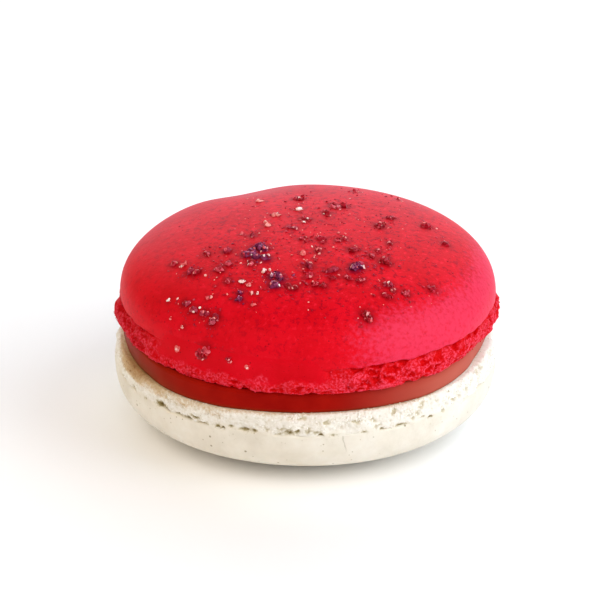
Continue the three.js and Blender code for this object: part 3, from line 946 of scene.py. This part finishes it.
def new_tree(name, numbers):
    """A geometry tree with a mesh in and out, named number inputs and a material input."""
    tree = bpy.data.node_groups.new(name, "GeometryNodeTree")
    tree.interface.new_socket("Geometry", in_out="INPUT", socket_type="NodeSocketGeometry")
    for number in numbers:
        tree.interface.new_socket(number, in_out="INPUT", socket_type="NodeSocketFloat")
    tree.interface.new_socket("Material", in_out="INPUT", socket_type="NodeSocketMaterial")
    tree.interface.new_socket("Geometry", in_out="OUTPUT", socket_type="NodeSocketGeometry")
    return tree, add(tree, "NodeGroupInput").outputs


def finished(tree, geometry, material):
    """Ends a tree: sets the material and hands the mesh out."""
    done = add(tree, "GeometryNodeSetMaterial", {"Geometry": geometry, "Material": material})
    add(tree, "NodeGroupOutput", [done])
    return tree


def grown(mesh, tree, values):
    """The mesh that a geometry tree makes of a mesh."""
    holder = bpy.data.objects.new("grown", mesh)
    bpy.context.scene.collection.objects.link(holder)
    modifier = holder.modifiers.new("tree", "NODES")
    modifier.node_group = tree
    sockets = {s.name: s.identifier for s in tree.interface.items_tree if s.in_out == "INPUT"}
    for name, value in values.items():
        modifier[sockets[name]] = value
    depsgraph = bpy.context.evaluated_depsgraph_get()
    made = bpy.data.meshes.new_from_object(
        holder.evaluated_get(depsgraph), preserve_all_data_layers=True, depsgraph=depsgraph
    )
    bpy.data.objects.remove(holder)
    return made


def small_cells(tree, coords, size):
    """The finer scale of crumb: each cell is a pit or a bump, rounded off before its edge."""
    scale = add(tree, MATH, (1.0, size), operation="DIVIDE")
    voronoi = add(tree, CELLS, (coords, scale))
    drawn = add(tree, SPLIT, [voronoi.outputs["Color"]])
    pit_or_bump = add(tree, STEP, (drawn, 0.4, 0.5, -1.0, 0.55), **SMOOTH)
    rounded = add(tree, STEP, (voronoi, 0.1, 0.62, 1.0, 0.0), **SMOOTH)
    return add(tree, MATH, (pit_or_bump, rounded), operation="MULTIPLY")


def burst_cells(tree, coords, size, share):
    """The coarsest scale: a share of the cells sank, and left their edges standing as ridges."""
    scale = add(tree, MATH, (1.0, size), operation="DIVIDE")
    voronoi = add(tree, CELLS, (coords, scale))
    edges = add(tree, CELLS, (coords, scale), feature="DISTANCE_TO_EDGE")
    drawn = add(tree, SPLIT, [voronoi.outputs["Color"]])
    past = add(tree, MATH, (drawn, share), operation="SUBTRACT")
    sank = add(tree, STEP, (past, 0.05, -0.05, -0.25, 1.0), **SMOOTH)
    middle = add(tree, STEP, (edges, 0.03, 0.3), **SMOOTH)
    hole = add(tree, MATH, (sank, middle), operation="MULTIPLY")
    return add(tree, MATH, (hole, -1.0), operation="MULTIPLY")


def crumb_relief_tree():
    """Roughens a mesh into crumbs and holes where its crumbly attribute says, and keeps how hollow
    each place is."""
    tree, ins = new_tree("crumb_relief", ["Depth", "Cell", "Squash", "Hollows", "Fineness", "Seed"])
    offset = add(tree, JOIN, {"X": ins["Seed"], "Y": ins["Seed"]})
    coords = add(tree, VECTOR_MATH, (add(tree, POSITION), offset), operation="ADD")
    coords = drifted(tree, coords, 1.1, 1.1 * MM)
    squash = add(tree, JOIN, (1.0, 1.0, ins["Squash"]))
    flat = add(tree, VECTOR_MATH, (coords, squash), operation="MULTIPLY")
    coarse = burst_cells(tree, flat, ins["Cell"], ins["Hollows"])
    small = add(tree, MATH, (ins["Cell"], 0.4), operation="MULTIPLY")
    small = small_cells(tree, coords, small)
    grain = add(tree, NOISE, (coords, scale_of(0.28), 3, 0.6))
    grain = add(tree, MATH, (grain, MIDDLE), operation="SUBTRACT")
    fine = add(tree, MATH, (grain, 1.5, small), operation="MULTIPLY_ADD")
    relief = add(tree, MATH, (fine, ins["Fineness"], coarse), operation="MULTIPLY_ADD")
    crumbly = add(tree, NAMED, {"Name": "crumbly"}, data_type="FLOAT")
    relief = add(tree, MATH, (relief, crumbly), operation="MULTIPLY")
    depth = add(tree, MATH, (relief, ins["Depth"]), operation="MULTIPLY")
    normal = add(tree, "GeometryNodeInputNormal")
    push = add(tree, VECTOR_MATH, (normal, depth), operation="SCALE")
    hollow = add(tree, MATH, (relief, -1.0), operation="MULTIPLY")
    mark = {"Geometry": ins["Geometry"], "Name": "hollow", "Value": hollow}
    marked = add(tree, STORE, mark, **NUMBER)
    moved = add(tree, MOVE, {"Geometry": marked, "Offset": push})
    return finished(tree, moved, ins["Material"])


def crumb_scatter_tree():
    """Loose crumbs that stick to a mesh as thickly as its litter attribute says."""
    tree, ins = new_tree("crumb_scatter", ["Density", "Smallest", "Largest", "Seed"])
    seed = add(tree, "FunctionNodeFloatToInt", [ins["Seed"]])
    clumps = add(tree, NOISE, (add(tree, POSITION), scale_of(1.8), 2))
    clumps = add(tree, STEP, (clumps, 0.42, 0.6), **SMOOTH)
    litter = add(tree, NAMED, {"Name": "litter"}, data_type="FLOAT")
    density = add(tree, MATH, (litter, clumps), operation="MULTIPLY")
    density = add(tree, MATH, (density, ins["Density"]), operation="MULTIPLY")
    spots = {"Mesh": ins["Geometry"], "Density": density, "Seed": seed}
    scattered = add(tree, "GeometryNodeDistributePointsOnFaces", spots)
    crumb = add(tree, SPHERE, {"Radius": 1.0, "Subdivisions": 1})
    share = add(tree, RANDOM, {"Seed": seed}, data_type="FLOAT")
    size = add(tree, STEP, {"Value": share, "To Min": ins["Smallest"], "To Max": ins["Largest"]})
    any_way = {"Max": (TURN, TURN, TURN), "Seed": seed}
    turn = add(tree, RANDOM, any_way, data_type="FLOAT_VECTOR")
    crumbs = {"Points": scattered, "Instance": crumb, "Rotation": turn, "Scale": size}
    made = add(tree, REALIZE, [add(tree, PLACE, crumbs)])
    drift = drift_of(tree, add(tree, POSITION), 0.25, 1)
    push = add(tree, VECTOR_MATH, (drift, 0.3 * MM), operation="SCALE")
    made = add(tree, MOVE, {"Geometry": made, "Offset": push})
    for name, value in (("hollow", -0.55), ("crumb", 1.0)):
        made = add(tree, STORE, {"Geometry": made, "Name": name, "Value": value}, **NUMBER)
    return finished(tree, made, ins["Material"])


def grain_tree():
    """A faceted grain on each point, turned to its facing and sized by its width."""
    tree, ins = new_tree("grains", ["Breadth", "Height", "Raggedness"])
    facing, spin, width = (
        add(tree, NAMED, {"Name": name}, data_type=kind)
        for name, kind in (("facing", "FLOAT_VECTOR"), ("spin", "FLOAT"), ("width", "FLOAT"))
    )
    grain = add(tree, SPHERE, {"Radius": 0.5, "Subdivisions": 2})
    upright = add(tree, "FunctionNodeAlignRotationToVector", {"Vector": facing}, axis="Z")
    spun = add(tree, JOIN, {"Z": spin})
    turned = add(tree, "FunctionNodeRotateRotation", (upright, spun), rotation_space="LOCAL")
    breadth = add(tree, MATH, (width, ins["Breadth"]), operation="MULTIPLY")
    height = add(tree, MATH, (width, ins["Height"]), operation="MULTIPLY")
    size = add(tree, JOIN, (width, breadth, height))
    grains = {"Points": ins["Geometry"], "Instance": grain, "Rotation": turned, "Scale": size}
    made = add(tree, REALIZE, [add(tree, PLACE, grains)])
    drift = drift_of(tree, add(tree, POSITION), 0.5, 1)
    push = add(tree, VECTOR_MATH, (drift, width), operation="SCALE")
    push = add(tree, VECTOR_MATH, (push, ins["Raggedness"]), operation="SCALE")
    made = add(tree, MOVE, {"Geometry": made, "Offset": push})
    return finished(tree, made, ins["Material"])


# --- The shells ----------------------------------------------------------------------------------


def skin_mesh(name, shell, flush):
    """The smooth skin of a shell, closed underneath by a flat face at the crease."""
    bearing = np.linspace(0, TURN, SKIN_TURNS, endpoint=False)
    outline = waves_of(OUTLINE_WAVES, shell["seed"])(bearing)
    lip = waves_of(LIP_WAVES, shell["seed"] + 2)(bearing) * (1 - flush)
    edge = shell["skin_radius"]
    rings = [(edge - 2 * LIP_RADIUS, 0.0)]
    for row in range(LIP_ROWS):
        angle = TURN / 4 * row / (LIP_ROWS - 1)
        rings.append((edge - LIP_RADIUS * (1 - math.sin(angle)), LIP_RADIUS * (1 - math.cos(angle))))
    radius, height, along = skin_path(shell)
    above_lip = along[height >= LIP_RADIUS][-1]
    for distance in np.linspace(above_lip, 0, shell["skin_rows"])[:-1]:
        ring = [float(np.interp(distance, along, values)) for values in (radius, height)]
        rings.append(ring)
    stations = [(0, 0.0)]
    for ring_radius, ring_height in rings:
        near_lip = max(0.0, 1 - ring_height / LIP_WAVE_REACH) ** 2
        stations.append((ring_radius * (1 + outline / edge), ring_height + lip * near_lip))
    stations.append((0, shell["dome"]))
    return lathe(name, stations, SKIN_TURNS)


def merging_of(shell, joined_at, reach):
    """How far a skin and its foot are one, at a bearing and a share of the way down the foot."""
    waves = waves_of(FLUSH_WAVES, shell["seed"] + 3)

    def merging(bearing, down):
        line = reach + waves(bearing)
        return joined_at(bearing) * rise(down - line, FLUSH_FADE, -FLUSH_FADE)

    return merging


def foot_mesh(name, shell, merging, pits=()):
    """The foot of a shell before it is roughened, from its flat face up into the skin. It keeps how
    crumbly it is, how much litter it bears, its burst pits, and how far down it each ring is."""
    bearing = np.linspace(0, TURN, FOOT_TURNS, endpoint=False)
    outline = waves_of(OUTLINE_WAVES, shell["seed"])(bearing)
    crags = crags_of(shell)
    foot = shell["foot"]
    edge = shell["skin_radius"] + outline
    stations = [(0, -foot["height"]), (foot["rim"] - FACE_INSET + outline, -foot["height"])]
    marks = {"crumbly": [0.0, 0.0], "litter": [0.0, 0.0], "pit": [0.0, 0.0], "down": [1.0, 1.0]}
    for row in range(FOOT_ROWS, -1, -1):
        down = row / FOOT_ROWS
        radius = foot_radius(foot, down)
        outward = radius + outline * radius / shell["skin_radius"] + crags(bearing, down)
        merged = merging(bearing, down)
        outward = outward + merged * (edge + TUCK_PROUD[0] - outward)
        pitted = np.zeros(FOOT_TURNS)
        for degrees, middle, half_width, half_height, share in pits:
            beside = off_bearing(bearing, degrees) * shell["skin_radius"] / half_width / PIT_SPREAD
            above = (down * foot["height"] - middle) / half_height / PIT_SPREAD
            pitted = np.maximum(pitted, share * np.exp(-(beside**2) - above**2))
        stations.append((outward - CREASE_PIT_DEPTH * pitted, -foot["height"] * down))
        crumbly = min(1.0, RIM_CRUMBLY + RIM_RISE * (1 - down))
        litter = between(LITTER, rise(down, *LITTER_RISE))
        marks["crumbly"].append(crumbly * (1 - merged))
        marks["litter"].append(litter * (1 - merged) * (1 - pitted))
        marks["pit"].append(pitted)
        marks["down"].append(down)
    path_radius, path_height, _ = skin_path(shell)
    joined = merging(bearing, 0.0)
    for height, proud in zip(TUCK_HEIGHTS, TUCK_PROUD):
        skin = float(np.interp(height, path_height[::-1], path_radius[::-1])) + outline + proud
        inside = foot["groove"] + outline
        stations.append((inside + joined * (skin - inside), height))
    stations.append((0, TUCK_HEIGHTS[-1]))
    mesh = lathe(name, stations, FOOT_TURNS)
    for mark, rings in marks.items():
        inside = [0.0] * (len(stations) - len(rings))
        store_rings(mesh, mark, rings + inside, FOOT_TURNS)
    return mesh


def skin_place(shell, path, x, y):
    """The point of the skin at a place on the unrolled skin, and the way the skin faces there."""
    radius, height, along = path
    distance = min(math.hypot(x, y), along[-1])
    bearing = math.atan2(y, x)
    out = float(np.interp(distance, along, radius))
    out *= 1 + float(waves_of(OUTLINE_WAVES, shell["seed"])(bearing)) / shell["skin_radius"]
    px, py = out * math.cos(bearing), out * math.sin(bearing)
    level = float(np.interp(distance, along, height))
    pz = level - float(dip_at(px, py, level))
    after = max(1, int(np.searchsorted(along, distance)))
    fall, run = height[after - 1] - height[after], radius[after] - radius[after - 1]
    steep, flat = np.array([fall, run]) / math.hypot(fall, run)
    facing = (steep * math.cos(bearing), steep * math.sin(bearing), flat)
    return np.array([px, py, pz]), np.array(facing)


def around(x, y, reach, draw):
    """A place drawn evenly from a disc on the unrolled skin."""
    bearing = TURN * draw()
    away = reach * math.sqrt(draw())
    return x + away * math.cos(bearing), y + away * math.sin(bearing)


def sprinkles(shell):
    """Every grain that the solid carries: kind, place on the skin, facing and width."""
    path = skin_path(shell)
    place = draws_from(SPRINKLE_SEED)
    grains = []
    for kind, x, y, spread, count, width in DRIFTS:
        for _ in range(count):
            here = around(x, y, spread, place)
            size = width * between((GRAIN_SMALLEST, GRAIN_LARGEST), place())
            grains.append((kind, *skin_place(shell, path, *here), size))
    return grains


def dust(shell):
    """Chips round each drift, and specks over a wide field: kind, place, facing and width."""
    path = skin_path(shell)
    draw = draws_from(DUST_SEED)
    bits = []

    def drop(kind, here, size):
        if math.hypot(*here) < path[2][-1] - BARE_EDGE:
            bits.append((kind, *skin_place(shell, path, *here), size))

    for kind, x, y, spread, count, _ in DRIFTS:
        for _ in range(CHIPS_PER_GRAIN[kind] * count):
            here = around(x, y, spread + CHIP_REACH, draw)
            own = kind if draw() < OWN_CHIPS else pick(CHIP_MIX, draw())
            drop(own, here, between(CHIP_WIDTHS, draw() ** 2))
    for _ in range(SPECK_FIELD["count"]):
        reach = SPECK_FIELD["radius"] * (SPECK_FIELD_LEAST + draw())
        here = around(SPECK_FIELD["x"], SPECK_FIELD["y"], reach, draw)
        drop(pick(SPECK_MIX, draw()), here, between(SPECK_WIDTHS, draw()))
    return bits


def seat(kind, point, facing, width):
    """The middle of a grain that is sunk into the skin at a point."""
    return point + facing * width * GRAIN_KINDS[kind]["height"] * (0.5 - GRAIN_SUNK)


def splinters(grains):
    """Shards that stick out of the grains: kind, middle, facing and width."""
    draw = draws_from(SPLINTER_SEED)
    shards = []
    for kind, point, facing, width in grains:
        look = GRAIN_KINDS[kind]
        middle = seat(kind, point, facing, width)
        for _ in range(look["splinters"]):
            way = np.array([draw() - 0.5, draw() - 0.5, draw() - 0.5])
            way = way / np.linalg.norm(way) + SPLINTER_LEAN * facing
            way = way / np.linalg.norm(way)
            flatness = 1 - (1 - look["height"]) * abs(float(way @ facing))
            reach = 0.5 * width * flatness * between(SPLINTER_REACHES, draw())
            size = width * between(SPLINTER_SHARES, draw())
            shards.append((pick(look["mix"], draw()), middle + way * reach, way, size))
    return shards


def grain_points(kind, cores, shards):
    """A mesh of the loose points of one kind, which carry what the grain tree needs."""
    draw = draws_from(len(cores) + 1)
    tints = GRAIN_KINDS[kind]["tints"]
    rows = []
    for core in cores:
        if core[0] == kind:
            coarse = min(1.0, core[3] / FINE_BIT)
            tint = DUST_TINT + coarse * (between(tints, draw()) - DUST_TINT)
            rows.append((seat(*core), core[2], core[3], tint))
    rows += [(middle, facing, width, draw()) for own, middle, facing, width in shards if own == kind]
    mesh = bpy.data.meshes.new(f"{kind}_points")
    shift = np.array([UPPER_SHELL_SHIFT, 0, UPPER_CREASE])
    mesh.from_pydata([tuple((middle + shift) * MM) for middle, _, _, _ in rows], [], [])
    store(mesh, "facing", [facing for _, facing, _, _ in rows], "FLOAT_VECTOR")
    store(mesh, "width", [width * MM for _, _, width, _ in rows])
    store(mesh, "spin", [TURN * draw() for _ in rows])
    store(mesh, "tint", [tint for _, _, _, tint in rows])
    return mesh


def soak(mesh, grains):
    """Marks the skin near each grain as wet with its syrup: darkest close by, faint further off."""
    points = points_of(mesh)
    patches = [np.zeros(len(points)) for _ in SOAKS]
    violet = np.zeros(len(points))
    for kind, point, _, width in grains:
        away = np.linalg.norm(points - point, axis=1)
        soaks = GRAIN_KINDS[kind]["soaks"] * min(1.0, width / SOAKING_WIDTH)
        wet = [soaks * np.exp(-((away / (grows * width + least)) ** 2)) for _, grows, least in SOAKS]
        patches = [np.maximum(patch, here) for patch, here in zip(patches, wet)]
        if kind == "violet":
            violet = np.maximum(violet, wet[0])
    store(mesh, "syrup", sum(soak[0] * patch for soak, patch in zip(SOAKS, patches)))
    store(mesh, "violet_syrup", violet)


def painted_sheen(mesh):
    """Marks the flank of the skin that gets a painted sheen, and how flecked the skin is."""
    points = points_of(mesh)
    away = np.hypot(points[:, 0] - SPECK_FIELD["x"], points[:, 1] - SPECK_FIELD["y"])
    store(mesh, "flecked", FLECKED["least"] + FLECKED["more"] * rise(away, *FLECKED["fades"]))
    bearing = np.degrees(np.arctan2(points[:, 1], points[:, 0]))
    pale = rise(bearing, *PAINTED_SHEEN_PATCH["from"]) * rise(bearing, *PAINTED_SHEEN_PATCH["to"])
    store(mesh, "painted_sheen", pale * rise(points[:, 2], *PAINTED_SHEEN_PATCH["below"]))


def crumbled(colour, base, crust, relief, crumbs):
    """A foot that is roughened into crumb, and the loose crumbs on it."""
    foot = grown(base, RELIEF_TREE, {**relief, "Material": crust})
    loose = grown(foot, SCATTER_TREE, {**crumbs, "Material": crust})
    piece(f"{colour}_foot", foot, f"{colour}_shell")
    piece(f"{colour}_foot_crumbs", loose, f"{colour}_shell")


def shade_and_paling(mesh):
    """Marks the painted shade on the left of the red foot, and how much of its crumb is pale: less in
    that shade and on flush stretches.
    """
    points = points_of(mesh)
    bearing = np.arctan2(points[:, 1], points[:, 0])
    off = np.degrees(np.abs(off_bearing(bearing, LEFT_FOOT_SHADE["bearing"])))
    left_shade = rise(off, LEFT_FOOT_SHADE["half_width"] + LEFT_FOOT_SHADE["edge"], LEFT_FOOT_SHADE["half_width"] - LEFT_FOOT_SHADE["edge"])
    store(mesh, "left_shade", left_shade)
    store(mesh, "paling", (1 - LEFT_FOOT_SHADE["share"] * left_shade) * (1 - FLUSH_MOISTER * flush_at(bearing)))


def red_shell():
    """The shell on top: its skin, its foot, and the grains of each kind."""
    grains = sprinkles(UPPER_SHELL)
    bits = dust(UPPER_SHELL)
    bearing = np.linspace(0, TURN, SKIN_TURNS, endpoint=False)
    skin = skin_mesh("red_skin", UPPER_SHELL, flush_at(bearing))
    points = points_of(skin)
    points[:, 2] -= dip_at(*points.T)
    set_points(skin, points)
    soak(skin, grains + [bit for bit in bits if bit[3] > SOAKING_BIT])
    painted_sheen(skin)
    piece("red_skin", in_place(skin, UPPER_SHELL), "red_shell", red_skin_material())

    merging = merging_of(UPPER_SHELL, flush_at, FLUSH_REACH)
    base = foot_mesh("red_foot_base", UPPER_SHELL, merging)
    shade_and_paling(base)
    crumbled("red", in_place(base, UPPER_SHELL), red_foot_material(), RED_RELIEF, RED_CRUMBS)

    violet = ((0, "#600e34"), (0.35, "#761c48"), (0.62, "#963a68"), (0.84, "#b8688e"), (1, "#e4b4c8"))
    mauve = ((0, "#860a22"), (0.35, "#980f2c"), (0.62, "#b02844"), (0.84, "#cc5a6c"), (1, "#f0aeb0"))
    ruby = ((0, "#920212"), (0.4, "#a40018"), (0.66, "#c21a34"), (0.86, "#de5868"), (1, "#f8aeac"))
    sugar = ((0, "#d8404e"), (0.35, "#ea6c6c"), (0.65, "#f9b4aa"), (0.92, "#fff4ee"))
    looks = {
        "violet": grain_material("candied_violet", violet, 0.35),
        "mauve": grain_material("faded_violet", mauve, 0.4),
        "ruby": grain_material("candied_petal", ruby, 0.4),
        "sugar": grain_material("sugar_crystal", sugar, 0.25),
    }
    cores = [(kind, point, facing, CORE_SHARE * width) for kind, point, facing, width in grains]
    shards = splinters(grains)
    for kind, material in looks.items():
        made = grown(grain_points(kind, cores + bits, shards), GRAIN_TREE, {
            "Breadth": GRAIN_KINDS[kind]["breadth"],
            "Height": GRAIN_KINDS[kind]["height"],
            "Raggedness": RAGGEDNESS,
            "Material": material,
        })
        piece(f"{kind}_grains", made, "red_shell")


def crease_closed(bearing):
    """How far the cream skin and its foot are one at one of its own bearings, from 0 to 1."""
    return 1 - rise(waves_of(CREASE_WAVES, LOWER_SHELL["seed"] + 4)(bearing), *CREASE_OPENS)


def crease_pits():
    """The cream shell's burst pits: the listed ones and more round the back, by its own bearings."""
    draw = draws_from(CREASE_PITS_BEHIND["seed"])
    pits = list(CREASE_PITS)
    for _ in range(CREASE_PITS_BEHIND["count"]):
        pits.append([between(pair, draw()) for pair in CREASE_PITS_BEHIND["limits"]])
    return [(-degrees, *rest) for degrees, *rest in pits]


def stained(mesh):
    """Marks the cream foot where the filling's juice browned it."""
    points = points_of(mesh)
    bearing = np.arctan2(-points[:, 1], points[:, 0])
    off = off_bearing(bearing, STAIN["bearing"])
    patch = np.exp(-((off / math.radians(STAIN["half_width"])) ** 2))
    side = GANACHE["radius"] + swell_at(GANACHE["swells"], bearing)
    past = np.maximum(np.hypot(points[:, 0], points[:, 1]) - side, 0)
    spread = np.exp(-((past / (STAIN["reach"] + STAIN["patch_reach"] * patch)) ** 2))
    spread = spread * rise(points[:, 2], *STAIN["fades"])
    store(mesh, "stain", spread * (STAIN["strength"] + STAIN["patch_strength"] * patch))


def cream_shell():
    """The shell beneath, turned over: its skin and its foot."""
    bearing = np.linspace(0, TURN, SKIN_TURNS, endpoint=False)
    skin = in_place(skin_mesh("cream_skin", LOWER_SHELL, crease_closed(bearing)), LOWER_SHELL)
    piece("cream_skin", skin, "cream_shell", cream_skin_material())
    merging = merging_of(LOWER_SHELL, crease_closed, CREAM_REACH)
    base = foot_mesh("cream_foot_base", LOWER_SHELL, merging, crease_pits())
    stained(base)
    crumbled("cream", in_place(base, LOWER_SHELL), cream_foot_material(), CREAM_RELIEF, CREAM_CRUMBS)


def filling():
    """The disc of ganache, bulging a little between the flat faces of the shells."""
    turns = GANACHE["turns"]
    rows = GANACHE["rows"]
    rounding = GANACHE["rounding"]
    thick = FILLING_TOP - FILLING_BOTTOM
    bearing = np.linspace(0, TURN, turns, endpoint=False)
    side = GANACHE["radius"] + swell_at(GANACHE["swells"], bearing)
    side = side + waves_of(GANACHE["waves"], GANACHE["seed"])(bearing)
    off = off_bearing(bearing, STAIN["bearing"])
    patch = np.exp(-((off / math.radians(STAIN["half_width"] + DRIED["wider"])) ** 2))
    # Painted light and reflection on the side toward the right, less near the top as painted shade
    # under the red foot.
    degrees = np.degrees(off_bearing(bearing, 0))
    lit_side = rise(degrees, *LIT_SIDE["from"]) * rise(degrees, *LIT_SIDE["to"])
    stations = [(0, FILLING_BOTTOM), (side - 2 * rounding, FILLING_BOTTOM)]
    dried = [0.0, 0.0]
    lit_rings = [0.0, 0.0]
    for row in range(rows + 1):
        up = row / rows
        edge = min(up, 1 - up) * thick
        tuck = rounding * (1 - math.sqrt(1 - max(0, 1 - edge / rounding) ** 2))
        tuck *= between(GANACHE["rounded"], up)
        belly = GANACHE["belly"] * math.sin(math.pi * up)
        stations.append((side - GANACHE["inset"] - tuck + belly, FILLING_BOTTOM + up * thick))
        low = DRIED["patch"] + DRIED["patch_low"] * rise(up, *DRIED["patch_fades"])
        dried.append(DRIED["edge"] * rise(up, *DRIED["edge_fades"]) + patch * low)
        lit_rings.append(lit_side * (1 - LIT_SIDE["less"] * rise(up, *LIT_SIDE["above"])))
    stations += [(side - 2 * rounding, FILLING_TOP), (0, FILLING_TOP)]
    dried += [0.0, 0.0]
    lit_rings += [0.0, 0.0]
    mesh = lathe("ganache", stations, turns)
    store_rings(mesh, "dried", dried, turns)
    store_rings(mesh, "lit_side", lit_rings, turns)
    set_points(mesh, (points_of(mesh) + [GANACHE["shift"], 0, 0]) * MM)
    piece("ganache", mesh, "ganache_filling", ganache_material())


# --- Studio --------------------------------------------------------------------------------------


def studio():
    """A white sweep under soft daylight that comes mostly from the right and behind."""
    world = bpy.data.worlds.new("studio")
    world.use_nodes = True
    background = world.node_tree.nodes["Background"]
    background.inputs["Color"].default_value = (1, 1, 1, 1)
    background.inputs["Strength"].default_value = 0.01
    bpy.context.scene.world = world
    half = 3.0
    below = -0.00002
    corners = [(x * half, y * half, below) for x, y in ((-1, -1), (1, -1), (1, 1), (-1, 1))]
    mesh = bpy.data.meshes.new("floor")
    mesh.from_pydata(corners, [], [(0, 1, 2, 3)])
    floor = bpy.data.objects.new("floor", mesh)
    bpy.context.scene.collection.objects.link(floor)
    paper = new_material("white_paper", lambda *_: {"Base Color": "#ffffff", "Roughness": 0.9})
    mesh.materials.append(paper)
    soft_light("window", (0.34, 0.26, 0.24), 0.34, 0.62, "#b7dbff")
    soft_light("back_wall", (0.0, 0.45, 0.12), 0.5, 1.5, "#e9ecff")
    soft_light("back_fill", (0.0, 0.45, 0.3), 0.5, 0.71, "#f0feff", gloss=False)
    soft_light("left_back", (-0.35, 0.3, 0.2), 0.4, 0.18, "#faffc7")
    soft_light("left_fill", (-0.4, -0.1, 0.35), 0.5, 1.44, "#fff1e2", gloss=False)
    soft_light("front_fill", (0.0, -0.45, 0.4), 0.5, 1.41, "#fff7ef", gloss=False)
    soft_light("right", (0.4, -0.1, 0.35), 0.5, 1.87, "#f7fbff")
    soft_light("right_low", (0.45, -0.25, 0.15), 0.4, 1.07, "#eff7ff")
    bpy.context.scene.view_settings.view_transform = "Standard"


def soft_light(name, place, size, watts, colour, gloss=True):
    lamp = bpy.data.lights.new(name, "AREA")
    lamp.size = size
    lamp.energy = watts
    lamp.color = srgb(colour)[:3]
    obj = bpy.data.objects.new(name, lamp)
    obj.location = place
    obj.rotation_euler = (Vector((0, 0, 0.012)) - Vector(place)).to_track_quat("-Z", "Y").to_euler()
    obj.visible_glossy = gloss
    bpy.context.scene.collection.objects.link(obj)


def camera():
    """Looks down on the macaron from the front."""
    distance = 480 * MM
    elevation = math.radians(25)
    aim = Vector((-0.675, 0, 14.6)) * MM
    data = bpy.data.cameras.new("camera")
    data.sensor_width = 36
    data.lens = 230.4
    data.clip_start = 0.01
    obj = bpy.data.objects.new("camera", data)
    obj.location = aim + distance * Vector((0, -math.cos(elevation), math.sin(elevation)))
    obj.rotation_euler = (aim - obj.location).to_track_quat("-Z", "Y").to_euler()
    bpy.context.scene.collection.objects.link(obj)
    bpy.context.scene.camera = obj


RELIEF_TREE = crumb_relief_tree()
SCATTER_TREE = crumb_scatter_tree()
GRAIN_TREE = grain_tree()

red_shell()
cream_shell()
filling()
studio()
camera()
